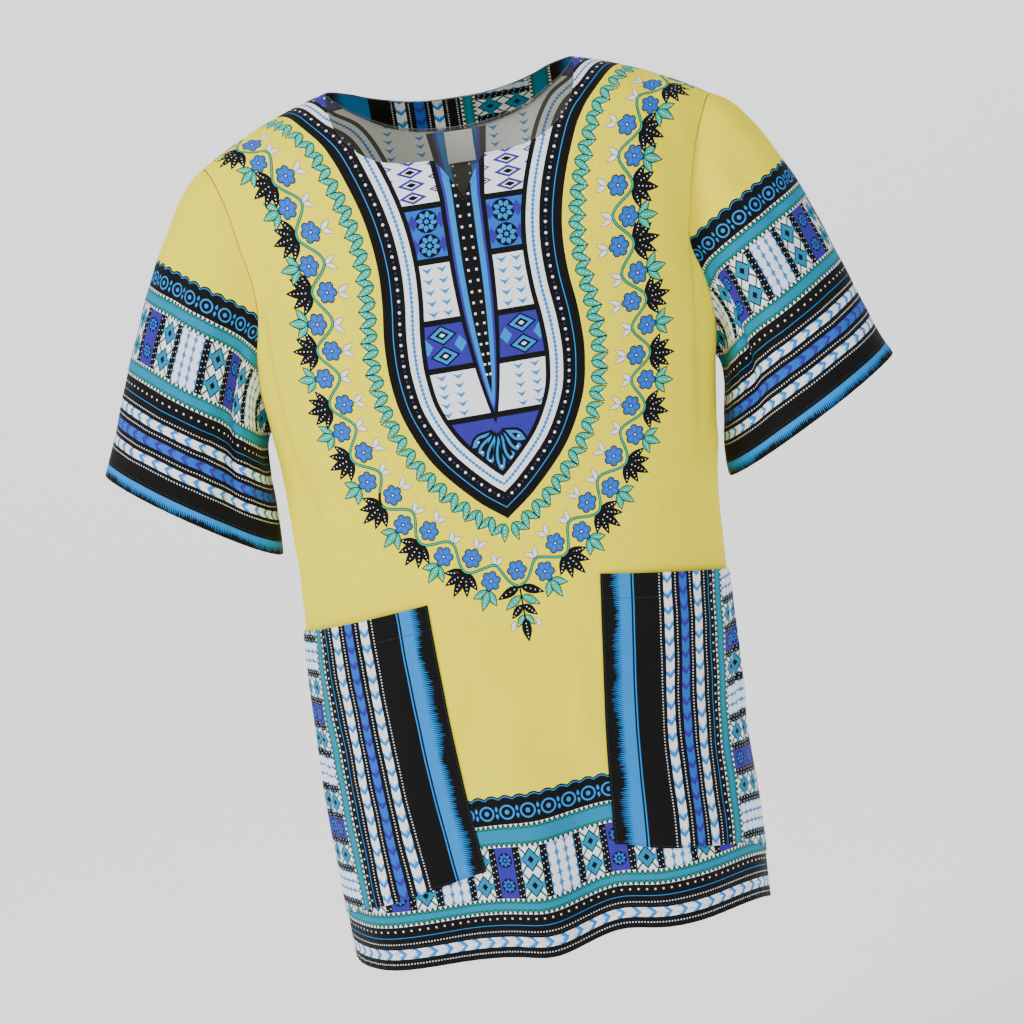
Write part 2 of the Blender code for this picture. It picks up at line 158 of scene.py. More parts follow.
CUFFS = {
    # side: (x, y, z, slope of the opening in degrees, half width, half depth,
    # pull along the top of the arm, which makes it bulge)
    -1: (-0.281, 0.002, -0.333, 35, 0.085, 0.062, 0.50),
    1: (0.269, 0.002, -0.344, 27, 0.089, 0.062, 0.70),
}
SLEEVE_LEAVES = ((0.72, 0.0, -0.70), (0.90, 0.0, -0.38))
SLEEVE_ARRIVES = ((0.20, 0.0, -0.95), (0.42, 0.0, -0.91))
SLEEVE_SPREAD = 0.30
UNDER_ARM_PULL, CUFF_PULL = 0.55, 0.85
SLEEVE_ROUND = 0.50
ARMHOLE_GAP = 0.0009

SLEEVE_FOLDS = (
    # round, half width, out, along low, along high
    (0.335, 0.045, -0.013, 0.10, 1.05),
    (0.200, 0.050, 0.006, 0.00, 0.80),
    (0.720, 0.045, -0.009, 0.10, 1.00),
    (0.860, 0.050, 0.005, 0.10, 0.90),
)

FACING_REACH_PX = 0.132
FACING_DROP, FACING_SAG = 0.028, 0.006
FACING_CENTRE_DROP = 0.034
FACING_LAYER = -0.0009
LABEL_LAYER = -0.0016
LABEL_WIDTH = 0.024
LABEL_LENGTH = 0.031
LABEL_GAP = 0.0006

# %% [markdown]
# ## Creases
#
# The largest folds are in the solids. These finer ones are listed as soft troughs and
# ridges: where each starts and ends on its flat cut, how wide it is and how far it moves the cloth.

# %% Creases
CREASES = {
    FRONT: (
        # px from, py from, px to, py to, half width, out
        (-0.197, 0.612, -0.203, 0.400, 0.0060, -0.0034),
        (-0.186, 0.600, -0.190, 0.430, 0.0070, 0.0020),
        (0.206, 0.668, 0.196, 0.500, 0.0060, -0.0036),
        (0.194, 0.640, 0.182, 0.430, 0.0080, 0.0020),
        (0.224, 0.470, 0.150, 0.330, 0.0110, -0.0022),
        (-0.226, 0.472, -0.160, 0.350, 0.0110, -0.0022),
        (-0.238, 0.440, -0.205, 0.320, 0.0080, 0.0020),
        (0.236, 0.430, 0.208, 0.330, 0.0080, 0.0020),
        (-0.046, 0.250, -0.060, 0.150, 0.0100, -0.0018),
        (-0.010, 0.236, -0.022, 0.120, 0.0120, 0.0016),
        (0.044, 0.262, 0.052, 0.130, 0.0100, 0.0018),
        (0.026, 0.170, 0.060, 0.100, 0.0090, -0.0014),
        (-0.150, 0.752, -0.185, 0.640, 0.0090, -0.0018),
        (0.150, 0.742, 0.188, 0.620, 0.0090, -0.0018),
        (-0.225, 0.250, -0.214, 0.090, 0.0060, -0.0024),
        (0.219, 0.262, 0.226, 0.120, 0.0060, -0.0026),
        (0.236, 0.270, 0.240, 0.140, 0.0050, 0.0022),
        (-0.118, 0.250, -0.106, 0.110, 0.0120, 0.0012),
        (0.136, 0.230, 0.120, 0.100, 0.0120, -0.0012),
    ),
    BACK: (
        (-0.204, 0.640, -0.190, 0.430, 0.0080, -0.0032),
        (0.204, 0.630, 0.192, 0.440, 0.0080, -0.0032),
        (-0.226, 0.470, -0.130, 0.380, 0.0110, -0.0026),
        (0.226, 0.470, 0.140, 0.360, 0.0110, -0.0026),
        (-0.236, 0.430, -0.196, 0.300, 0.0090, 0.0022),
        (0.236, 0.440, 0.200, 0.290, 0.0090, 0.0022),
        (-0.050, 0.420, -0.070, 0.200, 0.0120, -0.0020),
        (0.046, 0.400, 0.060, 0.180, 0.0120, -0.0020),
        (-0.010, 0.300, 0.004, 0.110, 0.0110, 0.0018),
        (0.120, 0.330, 0.130, 0.120, 0.0110, 0.0020),
        (-0.124, 0.320, -0.136, 0.140, 0.0110, 0.0020),
        (-0.120, 0.700, -0.168, 0.610, 0.0110, -0.0018),
        (0.120, 0.706, 0.170, 0.600, 0.0110, -0.0018),
    ),
}
SLEEVE_CREASES = {
    -1: (
        # s from, v from, s to, v to, half width, out
        (0.150, 0.150, 0.128, 0.010, 0.0070, -0.0034),
        (0.118, 0.220, 0.112, 0.080, 0.0090, 0.0024),
        (0.176, 0.120, 0.196, 0.020, 0.0070, 0.0026),
        (0.060, 0.230, 0.076, 0.120, 0.0100, -0.0018),
        (-0.150, 0.150, -0.130, 0.020, 0.0080, -0.0030),
        (-0.100, 0.210, -0.116, 0.090, 0.0100, 0.0024),
        (0.090, 0.110, 0.060, 0.000, 0.0110, 0.0016),
    ),
    1: (
        (0.146, 0.160, 0.130, 0.012, 0.0070, -0.0034),
        (0.122, 0.210, 0.116, 0.070, 0.0090, 0.0022),
        (0.180, 0.120, 0.190, 0.015, 0.0070, 0.0026),
        (0.070, 0.240, 0.080, 0.130, 0.0100, -0.0020),
        (-0.150, 0.150, -0.134, 0.018, 0.0080, -0.0030),
        (-0.104, 0.200, -0.112, 0.080, 0.0100, 0.0024),
        (0.084, 0.100, 0.064, 0.000, 0.0110, 0.0014),
    ),
}
PUCKER_OUT = 0.00035
PUCKER_WAVE = 0.013
PUCKER_REACH = 0.011
SLACK_OUT = 0.0011
CREASE_STRENGTH = 1.5


def crease_depth(x, y, rows):
    """How far a table of creases moves points of a flat cut outwards."""
    out = np.zeros(np.broadcast(x, y).shape)
    for x0, y0, x1, y1, half, depth in rows:
        run_x, run_y = x1 - x0, y1 - y0
        length = math.hypot(run_x, run_y)
        along = ((x - x0) * run_x + (y - y0) * run_y) / length**2
        away = ((x - x0) * run_y - (y - y0) * run_x) / length
        fade = np.sin(math.pi * np.clip(along, 0, 1))
        bow = 0.35 * half * np.sin(2 * math.pi * along)
        out = out + CREASE_STRENGTH * depth * fade * np.exp(-(((away + bow) / half) ** 2))
    return out


def slack(x, y):
    """The slight unevenness that any hung cotton has."""
    return SLACK_OUT * (
        np.sin(x * 41 + 1.3) * np.sin(y * 33 + 0.4)
        + 0.6 * np.sin(x * 97 - y * 61 + 2.1)
        + 0.4 * np.sin(x * 58 + y * 143)
    ) / 2


def pucker(along, away):
    """Small waves along a sewn edge, which die out away from it."""
    wave = np.sin(2 * math.pi * along / PUCKER_WAVE + 2 * np.sin(along * 37))
    return PUCKER_OUT * wave * np.exp(-((away / PUCKER_REACH) ** 2))


# %% [markdown]
# ## Draping the body panels
#
# A point of the flat cut goes to the oval cross-section at its height, and above the chest it
# rounds over to the shoulder ridge. Folds and creases then move it along the cloth's own normal.

# %% Drape the body panels
def smooth(x):
    """0 to 1 with level ends."""
    x = np.clip(x, 0.0, 1.0)
    return x * x * (3.0 - 2.0 * x)


def smooth_row(z, column):
    """A column of SECTIONS read at height z, as a smooth curve through its rows."""
    table = np.array(SECTIONS)
    at, value = table[:, 0], table[:, column]
    slope = np.gradient(value, at)
    z = np.clip(z, at[0], at[-1])
    low = np.clip(np.searchsorted(at, z, side="right") - 1, 0, len(at) - 2)
    step = at[low + 1] - at[low]
    t = (z - at[low]) / step
    return (
        value[low] * (2 * t**3 - 3 * t**2 + 1)
        + slope[low] * step * (t**3 - 2 * t**2 + t)
        + value[low + 1] * (3 * t**2 - 2 * t**3)
        + slope[low + 1] * step * (t**3 - t**2)
    )


def quarter_curve(squareness):
    """A quarter of a squared-off oval by share of its length: from (0, 1) round to (1, 0)."""
    angle = np.linspace(0, math.pi / 2, 3000)
    across = np.sin(angle) ** (2 / squareness)
    deep = np.cos(angle) ** (2 / squareness)
    steps = np.hypot(np.diff(across), USUAL_FLATNESS * np.diff(deep))
    share = np.concatenate([[0], np.cumsum(steps)])
    return share / share[-1], across, deep


RING = quarter_curve(BODY_SQUARENESS)
NECK_ARC = quarter_curve(NECK_ARC_SQUARENESS)
TIP_ARC = quarter_curve(TIP_ARC_SQUARENESS)


def shoulder_py(px):
    """Height of the shoulder ridge on the flat cut."""
    out = np.clip((np.abs(px) - NECK_HALF) / (TIP_PX - NECK_HALF), 0.0, FLARE_PAST_TIP)
    return NECK_PY + (TIP_PY - NECK_PY) * out


def shoulder_z(px):
    """Height of the shoulder ridge as worn."""
    out = np.clip((np.abs(px) - RIDGE_FROM) / (TIP_PX - RIDGE_FROM), 0.0, FLARE_PAST_TIP)
    return RIDGE_Z + (TIP_Z - RIDGE_Z) * ((1 - RIDGE_DROOP) * out + RIDGE_DROOP * out**2)


def body_surface(px, py, panel):
    """The worn place of a point before folds. Past the ridge it lies on the other side."""
    ridge = shoulder_py(px)
    over = py > ridge
    return half_surface(px, np.where(over, 2 * ridge - py, py), np.where(over, -panel, panel))


def half_surface(px, py, panel):
    """The worn place of a point between the hem and the shoulder ridge, before folds."""
    share = np.abs(px) / PANEL_HALF
    across, deep = np.interp(share, RING[0], RING[1]), np.interp(share, RING[0], RING[2])
    rise = np.clip((py - BREAK_PY) / (shoulder_py(px) - BREAK_PY), 0.0, 1.0)
    outer = smooth((np.abs(px) - NECK_HALF / 2) / (TIP_PX - NECK_HALF / 2))
    near_neck = [np.interp(rise, NECK_ARC[0], NECK_ARC[k]) for k in (1, 2)]
    near_tip = [np.interp(rise, TIP_ARC[0], TIP_ARC[k]) for k in (1, 2)]
    up, inward = ((1 - outer) * neck + outer * tip for neck, tip in zip(near_neck, near_tip))
    straight_z = HEM_Z + np.minimum(py, BREAK_PY)
    z = straight_z + (shoulder_z(px) - HEM_Z - BREAK_PY) * up
    flat = smooth(rise)
    width = smooth_row(straight_z, 2)
    x = np.sign(px) * ((1 - flat) * width * across + flat * np.abs(px) * TOP_SPREAD)
    depth = np.where(panel == FRONT, smooth_row(straight_z, 3), smooth_row(straight_z, 4))
    y = panel * depth * deep * inward
    sway = smooth_row(z, 1)
    tilt = SHOULDER_TILT * smooth(1 + z / TILT_FADE)
    return np.stack([x + sway, y, z - tilt * x - hem_drop(px, py, panel)], axis=-1)


def hem_drop(px, py, panel):
    """How far a point hangs below its level, by the table of the hem."""
    down = 0.0
    for side, middle, half, drop in HEM_DROPS:
        down = down + drop * np.exp(-(((px - middle) / half) ** 2)) * (panel == side)
    return down * smooth(1 - py / HEM_DROP_TOP_PY)


def fold_depth(px, py, panel):
    """How far the largest folds move a point of a panel outwards."""
    out = np.zeros(np.broadcast(px, py).shape)
    for side, low, high, half, depth, start, end in FOLDS:
        if side != panel:
            continue
        along = (py - start) / (end - start)
        middle = low + (high - low) * np.clip(along, 0, 1)
        fade = np.sin(math.pi * np.clip(along, 0, 1)) ** 1.2
        out = out + depth * fade * np.exp(-(((px - middle) / half) ** 2))
    return out


def panel_relief(px, py, panel):
    """Folds, creases, slack and puckers of a body panel together."""
    calm = smooth((PANEL_HALF - np.abs(px)) / 0.03) * smooth((shoulder_py(px) - py) / 0.04)
    relief = fold_depth(px, py, panel) + crease_depth(px, py, CREASES[panel]) * calm
    relief = relief + slack(px, py) * calm
    return relief + pucker(px, py) * calm


def drape(px, py, panel, lift=0.0):
    """The worn place of a point of the flat cut, folds included, lifted off the cloth by lift."""
    px, py = np.asarray(px, float), np.asarray(py, float)
    step = 0.0015
    place = body_surface(px, py, panel)
    along_x = body_surface(px + step, py, panel) - body_surface(px - step, py, panel)
    along_y = body_surface(px, py + step, panel) - body_surface(px, py - step, panel)
    normal = np.cross(along_x, along_y) * -panel
    normal /= np.maximum(np.linalg.norm(normal, axis=-1, keepdims=True), 1e-12)
    return place + normal * (panel_relief(px, py, panel) + lift)[..., None]


# %% [markdown]
# ## Outlines of the cut
#
# The armhole and the neckline are curves on the flat cut. Pocket, facing and label have outlines
# on the same cut, so they follow the panel that they are sewn to.

# %% Outlines of the cut
def armhole(share):
    """The armhole's edge on the flat cut, from the armpit at 0 to the shoulder tip at 1."""
    share = np.asarray(share, float)
    turned = np.sin(np.clip(share / TURN_IN_BY, 0, 1) * math.pi / 2)
    leaned = smooth((share - LEAN_OUT_FROM) / (1 - LEAN_OUT_FROM))
    px = PANEL_HALF + (ARMHOLE_PX - PANEL_HALF) * turned + (TIP_PX - ARMHOLE_PX) * leaned
    return px, ARMPIT_PY + (TIP_PY - ARMPIT_PY) * share


def seam_shift(share, panel):
    """How far the armhole's top end moves towards the front, to meet the shoulder seam."""
    return SEAM_FORWARD * panel * np.asarray(share, float) ** 6


def neckline(share, panel):
    """The neck's edge on the flat cut, from the centre at 0 to the shoulder seam at 1."""
    share = np.asarray(share, float)
    scoop = FRONT_SCOOP_PY if panel == FRONT else BACK_SCOOP_PY
    top = NECK_PY + SEAM_FORWARD * panel
    angle = share * math.pi / 2
    px = NECK_HALF * np.sin(angle) ** (2 / NECK_SQUARENESS[panel])
    py = top - (top - scoop) * np.cos(angle) ** (2 / NECK_SQUARENESS[panel])
    if panel == FRONT:
        in_notch = np.clip(1 - px / NOTCH_HALF, 0, 1)
        py = py - (FRONT_SCOOP_PY - NOTCH_PY) * in_notch**NOTCH_CURVE
    return px, py


def both_sides(right):
    """A closed outline from its right half, which runs from the centre line round to it again."""
    right = np.asarray(right, float)
    left = right[::-1] * (-1, 1)
    return np.concatenate([right, left[np.abs(left[:, 0]) > 1e-9]])


def panel_outline(panel):
    share = np.linspace(0, 1, 60)
    edge = np.stack(armhole(share), -1) - (SEAM_GAP / 2, 0)
    edge[:, 1] += seam_shift(share, panel)
    edge[-1, 1] -= SEAM_GAP / 2
    neck = np.stack(neckline(smooth(np.linspace(1, 0, 90)), panel), -1)
    neck[0, 1] -= SEAM_GAP / 2
    return both_sides(np.concatenate([[(0, 0), (PANEL_HALF - SEAM_GAP / 2, 0)], edge, neck]))


def pocket_inner(py):
    """The slanting line that the pocket's inner edge follows."""
    up = (py - POCKET_BOTTOM_PY) / (POCKET_TOP_PY - POCKET_BOTTOM_PY)
    return POCKET_INNER_BOTTOM + (POCKET_INNER_TOP - POCKET_INNER_BOTTOM) * up


def pocket_top(px, side):
    """Height of the pocket's mouth on the flat cut, which falls towards the side seam."""
    inner = pocket_inner(POCKET_TOP_PY)
    return POCKET_TOP_PY - POCKET_TOP_DROPS[side] * (np.abs(px) - inner) / (PANEL_HALF - inner)


def pocket_outline(side):
    seam = PANEL_HALF - SEAM_GAP
    right = np.array([
        (pocket_inner(POCKET_BOTTOM_PY), POCKET_BOTTOM_PY),
        (seam, POCKET_BOTTOM_PY - POCKET_BOTTOM_DROP),
        (seam, pocket_top(seam, side)),
        (pocket_inner(POCKET_TOP_PY), POCKET_TOP_PY),
    ])
    return right * (side, 1)


def pocket_lift(px, py, side):
    """How far a pocket stands off: close at its sewn edges and a little open at its mouth."""
    inner = pocket_inner(py)
    across = np.clip((np.abs(px) - inner) / (PANEL_HALF - inner), 0, 1)
    low = POCKET_BOTTOM_PY - POCKET_BOTTOM_DROP * across
    high = POCKET_TOP_PY - POCKET_TOP_DROPS[side] * across
    up = np.clip((py - low) / (high - low), 0, 1)
    opening = smooth((up - GAPE_FROM) / (1 - GAPE_FROM))
    gape = POCKET_GAPE * opening * np.sin(math.pi * across) ** 0.7
    sewn = smooth(np.minimum(across, 1 - across) / 0.05) * smooth(up / 0.04)
    return POCKET_EDGE_LIFT + (POCKET_LIFT - POCKET_EDGE_LIFT) * sewn + gape


def facing_top():
    """The facing's upper edge, along the shoulder seam and round the neck to the centre."""
    neck = np.stack(neckline(smooth(np.linspace(1, 0, 60)), BACK), -1)
    tip = np.array([TIP_PX, TIP_PY + SEAM_FORWARD])
    out = (FACING_REACH_PX - NECK_HALF) / (TIP_PX - NECK_HALF)
    corner = neck[0] + (tip - neck[0]) * out
    return np.concatenate([[corner], neck]) - (0, SEAM_GAP)


def facing_lower(px):
    """Height of the facing's lower edge at a distance from the centre line."""
    top = facing_top()[::-1]
    drop = FACING_DROP + FACING_SAG * np.cos(np.clip(np.abs(px) / NECK_HALF, 0, 1) * math.pi / 2)
    return np.interp(np.abs(px), top[:, 0], top[:, 1]) - drop


def facing_outline():
    """The strip between the back of the neck and a line a little below it."""
    px = np.linspace(0, FACING_REACH_PX, 40)
    return both_sides(np.concatenate([np.stack([px, facing_lower(px)], -1), facing_top()]))


def label_outline():
    top = facing_centre_py() - LABEL_GAP
    half = LABEL_WIDTH / 2
    return box(-half, top - LABEL_LENGTH, half, top)


def facing_centre_py():
    return BACK_SCOOP_PY - SEAM_GAP - FACING_CENTRE_DROP


# %% [markdown]
# ## Draping the sleeves
#
# A sleeve is a tube from the armhole to its cuff. On its flat cut, s runs round from the top of
# the arm and v runs up from the cuff, so stripes of equal v stay parallel to the cuff.

# %% Drape the sleeves
def armhole_ring(share, side):
    """The armhole as worn, from the shoulder seam down the front, under the arm and up the back."""
    rise = np.abs(2 * share - 1)
    px, py = armhole(rise)
    front = drape(side * px, py + seam_shift(rise, FRONT), FRONT)
    back = drape(side * px, py + seam_shift(rise, BACK), BACK)
    return np.where((share < 0.5)[:, None], front, back)


def cuff_ring(share, side):
    """The sleeve's open end as worn, the same way round as the armhole."""
    x, y, z, slope, half_width, half_depth, _ = CUFFS[side]
    turn = share[:, None] * 2 * math.pi
    slope = math.radians(slope)
    reach = np.array([math.cos(slope) * side, 0.0, math.sin(slope)])
    forward = np.array([0.0, -1.0, 0.0])
    return (x, y, z) + np.cos(turn) * half_width * reach + np.sin(turn) * half_depth * forward


def sleeve_surface(share, along, side):
    """The worn sleeve at shares of the way round and along, before folds."""
    start, end = armhole_ring(share % 1.0, side), cuff_ring(share, side)
    turn = share * 2 * math.pi
    top = (0.5 + 0.5 * np.cos(turn))[:, None]
    forward = -np.sin(turn)
    distance = np.linalg.norm(end - start, axis=1)[:, None]
    under_arm, over_arm = ((np.array(way) * (side, 1, 1)) for way in SLEEVE_LEAVES)
    leave = under_arm + (over_arm - under_arm) * top
    leave[:, 1] = SLEEVE_SPREAD * forward
    under_arm, over_arm = ((np.array(way) * (side, 1, 1)) for way in SLEEVE_ARRIVES)
    arrive = under_arm + (over_arm - under_arm) * top
    leave *= distance * (UNDER_ARM_PULL + (CUFFS[side][-1] - UNDER_ARM_PULL) * top)
    arrive *= distance * CUFF_PULL
    t = along[:, None]
    return (
        (2 * t**3 - 3 * t**2 + 1) * start
        + (t**3 - 2 * t**2 + t) * leave
        + (3 * t**2 - 2 * t**3) * end
        + (t**3 - t**2) * arrive
    )


SLEEVE_ROUNDS = 96


def sleeve_lengths(side, rounds=SLEEVE_ROUNDS, steps=48):
    """The length of the sleeve by share, and a table that turns a share of it into along."""
    share = np.linspace(0, 1, rounds + 1)
    along = np.linspace(1, 0, steps + 1)
    grid = np.stack([sleeve_surface(share, np.full(rounds + 1, a), side) for a in along], 1)
    pieces = np.linalg.norm(np.diff(grid, axis=1), axis=2)
    run = np.concatenate([np.zeros((rounds + 1, 1)), np.cumsum(pieces, 1)], 1)
    even = np.linspace(0, 1, steps + 1)
    table = np.stack([np.interp(even, r / r[-1], along) for r in run])
    return run[:, -1], table


SLEEVE_TABLES = {side: sleeve_lengths(side) for side in (-1, 1)}


def read_table(table, share, part):
    """Values of a table at shares of its rows and columns."""
    rows, columns = table.shape[0] - 1, table.shape[1] - 1
    i = np.clip(share * rows, 0, rows - 1e-6)
    j = np.clip(part * columns, 0, columns - 1e-6)
    low_i, low_j = i.astype(int), j.astype(int)
    i, j = i - low_i, j - low_j
    return (
        table[low_i, low_j] * (1 - i) * (1 - j)
        + table[low_i + 1, low_j] * i * (1 - j)
        + table[low_i, low_j + 1] * (1 - i) * j
        + table[low_i + 1, low_j + 1] * i * j
    )


def sleeve_length(share, side):
    return np.interp(share % 1.0, np.linspace(0, 1, SLEEVE_ROUNDS + 1), SLEEVE_TABLES[side][0])


def drape_sleeve(s, v, side, lift=0.0):
    """The worn place of a point of a sleeve's flat cut."""
    share = s / SLEEVE_ROUND
    length = sleeve_length(share, side)
    along = read_table(SLEEVE_TABLES[side][1], share % 1.0, np.clip(v / length, 0, 1))
    place = sleeve_surface(share, along, side)
    step = 0.001
    round_way = sleeve_surface(share + step, along, side) - sleeve_surface(share - step, along, side)
    down_way = sleeve_surface(share, along + step, side) - sleeve_surface(share, along - step, side)
    normal = np.cross(round_way, down_way) * side
    normal /= np.maximum(np.linalg.norm(normal, axis=1, keepdims=True), 1e-12)
    out = np.zeros(len(place))
    for middle, half, depth, low, high in SLEEVE_FOLDS:
        fade = np.sin(math.pi * np.clip((along - low) / (high - low), 0, 1))
        away = (share - middle + 0.5) % 1 - 0.5
        out += depth * fade * np.exp(-((away / half) ** 2))
    calm = smooth((length - v) / 0.02)
    out += crease_depth(s, v, SLEEVE_CREASES[side]) * calm * smooth((0.5 - np.abs(share)) / 0.05)
    out += (slack(s + side, v) + pucker(s, v)) * calm
    return place + normal * (out + lift)[:, None]


def sleeve_outline(side):
    half = SLEEVE_ROUND / 2 - SEAM_GAP / 2
    s = np.linspace(half, -half, 121)
    top = np.stack([s, sleeve_length(s / SLEEVE_ROUND, side) - ARMHOLE_GAP], -1)
    return np.concatenate([[(-half, 0), (half, 0)], top])


# %% [markdown]
# ## A print is a pile of shapes
#
# A print keeps shapes of colour in the order in which they are laid down. The last shape that
# covers a spot gives it its colour. Colours are linear red, green and blue.

# %% Print kit
COLOURS = {
    "yellow": (0.930, 0.800, 0.000),
    "black": (0.0040, 0.0040, 0.0046),
    "white": (0.850, 0.870, 0.910),
    "teal": (0.006, 0.430, 0.300),
    "deep teal": (0.002, 0.190, 0.160),
    "pool": (0.004, 0.220, 0.400),
    "sky": (0.010, 0.225, 0.640),
    "azure": (0.016, 0.120, 0.540),
    "violet": (0.034, 0.025, 0.300),
    "mist": (0.420, 0.520, 0.720),
}
EDGE_STEP = 0.006


def divided(points, step=EDGE_STEP):
    """A closed outline with no side longer than step."""
    points = np.asarray(points, float)
    following = np.roll(points, -1, axis=0)
    out = []
    for a, b in zip(points, following):
        count = max(1, math.ceil(math.hypot(*(b - a)) / step))
        out.extend(a + (b - a) * k / count for k in range(count))
    return np.array(out)


def turned_left(points):
    """The outline in the direction that keeps its inside on the left."""
    x, y = points[:, 0], points[:, 1]
    area = np.dot(x, np.roll(y, -1)) - np.dot(y, np.roll(x, -1))
    return points if area > 0 else points[::-1]


class Print:
    """Shapes of colour on a flat cut. place moves each shape's points to where they are printed."""

    def __init__(self, place=None, ground="yellow"):
        self.place = place
        self.ground = ground
        self.shapes = []

    def add(self, colour, points):
        points = divided(points)
        if self.place is not None:
            points = self.place(points)
        self.shapes.append((colour, turned_left(points)))

    def both(self, colour, points):
        """Add a shape and its mirror image across the centre line."""
        points = np.asarray(points, float)
        self.add(colour, points)
        self.add(colour, points * (-1, 1))

    def stamp(self, motif, x, y, turn=0.0, mirrored=False):
        """Add a motif, which is a list of colours and shapes, at a place."""
        lay = self.both if mirrored else self.add
        for colour, points in turned(motif, turn):
            lay(colour, points + (x, y))


# %% [markdown]
# ## Motifs
#
# Each motif grows along +x from its own origin, in metres. Leaves, petals and dots are enough for
# the garland.

# %% Motifs
LEAF_DOT = 0.00062


def oval(x, y, half_x, half_y, corners):
    angle = np.linspace(0, 2 * math.pi, corners, endpoint=False)
    return np.stack([x + half_x * np.cos(angle), y + half_y * np.sin(angle)], -1)


def box(x0, y0, x1, y1):
    return np.array([(x0, y0), (x1, y0), (x1, y1), (x0, y1)])


def leaf_shape(start, length, width, blunt=0.8, steps=7):
    """A pointed leaf along +x from start."""
    t = np.linspace(0, 1, steps)
    half = width / 2 * np.sin(math.pi * t**blunt)
    half[0] = half[-1] = 0.0
    x = start + length * t
    low, high = np.stack([x, -half], -1), np.stack([x, half], -1)
    return np.concatenate([low, high[-2:0:-1]])


def turned(motif, angle):
    """A motif turned about its own origin."""
    c, s = math.cos(angle), math.sin(angle)
    rule = np.array([[c, s], [-s, c]])
    return [(colour, points @ rule) for colour, points in motif]


def dotted_leaf(length, width, fill, blunt=0.8, dots=5, edge=0.0009):
    """A leaf with a dark edge and a row of pale dots down its middle."""
    motif = [
        ("black", leaf_shape(-edge, length + 2.4 * edge, width + 2 * edge, blunt)),
        (fill, leaf_shape(0, length, width, blunt)),
    ]
    for k in range(dots):
        along = 0.22 + 0.62 * k / max(1, dots - 1)
        motif.append(("white", oval(length * along, 0, LEAF_DOT, LEAF_DOT, 5)))
    return motif


def small_leaf(length, width):
    """A plain white leaf with a dark edge."""
    return [
        ("black", leaf_shape(-0.0006, length + 0.0013, width + 0.0011)),
        ("white", leaf_shape(0, length, width)),
    ]


def flower_wheel(radius, fill, petals=8):
    """Round petals about a centre, on black."""
    motif = [("black", oval(0, 0, radius, radius, 16))]
    petal = [(fill, leaf_shape(0.30 * radius, 0.62 * radius, 0.42 * radius, steps=5))]
    for k in range(petals):
        motif += turned(petal, k * 2 * math.pi / petals)
    motif.append((fill, oval(0, 0, 0.20 * radius, 0.20 * radius, 8)))
    return motif


# %% [markdown]
# ## Border rows
#
# The woven-looking borders repeat along hems, cuffs and pockets. Each row is drawn between a low
# and a high line, from a start to an end. The print's own placing turns the row where it belongs.

# %% Border rows
def plain_row(art, low, high, start, end, colour="black"):
    art.add(colour, box(start, low, end, high))


def dot_row(art, low, high, start, end, step=0.0026, half=0.00052):
    middle = (low + high) / 2
    for x in np.arange(start + step / 2, end, step):
        art.add("white", box(x - half, middle - half, x + half, middle + half))


def sparse_dots(art, low, high, start, end):
    dot_row(art, low, high, start, end, step=0.0072, half=0.00075)


def arrow_row(art, low, high, start, end, ground="white", mark="sky", step=0.0135, point=1):
    """Brushed chevrons that point along the row, with thin strokes trailing behind them."""
    art.add(ground, box(start, low, end, high))
    wide = high - low
    teeth = 6
    for x in np.arange(start + step / 2, end, step):
        share = np.linspace(0, 1, 2 * teeth + 1)
        front = np.array([(x, low), (x + point * 0.50 * wide, (low + high) / 2), (x, high)])
        body = 0.0034 + 0.0050 * CHANCE.random(2 * teeth + 1) * (np.arange(2 * teeth + 1) % 2)
        back = x + point * (0.50 * wide * (1 - np.abs(2 * share - 1)) - body)
        tail = np.stack([back, high - wide * share], -1)
        if ground == "white":
            for y in low + wide * CHANCE.uniform(0.12, 0.88, 3):
                length = CHANCE.uniform(0.004, 0.008)
                near = x - point * 0.003
                art.add("mist", box(near - length, y - 0.00022, near, y + 0.00022))
        art.add(mark, np.concatenate([front, tail]))


def fringe_row(art, low, high, start, end, colour="sky", reach=0.012, step=0.0016):
    """A band whose low edge breaks up into fine pointed strokes."""
    reach = min(reach, 0.7 * (high - low))
    count = int((end - start) / step)
    x = np.linspace(end, start, 2 * count + 1)
    swell = 0.55 + 0.45 * np.sin(x * 95 + 1.0) * np.sin(x * 41)
    length = reach * (0.25 + 0.55 * swell + 0.3 * CHANCE.random(len(x)))
    edge = low + reach - np.where(np.arange(len(x)) % 2 == 1, length, 0.0)
    art.add(colour, np.concatenate([[(start, high), (end, high)], np.stack([x, edge], -1)]))


TOOTH = 0.0033


def saw_line(x, base, toward):
    """The saw edge of the blue-green band, which fits between the white teeth."""
    deep = np.arange(len(x)) % 2 == 1
    return np.stack([x, base + toward * np.where(deep, TOOTH + 0.0011, 0.0016)], -1)


def zigzag_row(art, low, high, start, end, step=0.0046):
    """A blue-green band with saw edges, and white teeth that point into it from both sides."""
    art.add("black", box(start, low, end, high))
    x = np.arange(start, end + step / 4, step / 2)
    art.add("deep teal", np.concatenate([saw_line(x, low, 1), saw_line(x, high, -1)[::-1]]))
    middle = (low + high) / 2
    half = (high - low) / 2 - TOOTH - 0.0016
    art.add("pool", box(start, middle - half, end, middle + half))
    for base, toward in ((low, 1), (high, -1)):
        for a in x[1::2]:
            foot = base + toward * 0.0003
            tooth = [(a - 0.40 * step, foot), (a + 0.40 * step, foot), (a, base + toward * TOOTH)]
            art.add("white", tooth)


def diamond(x, y, half_x, half_y):
    return np.array([(x - half_x, y), (x, y - half_y), (x + half_x, y), (x, y + half_y)])


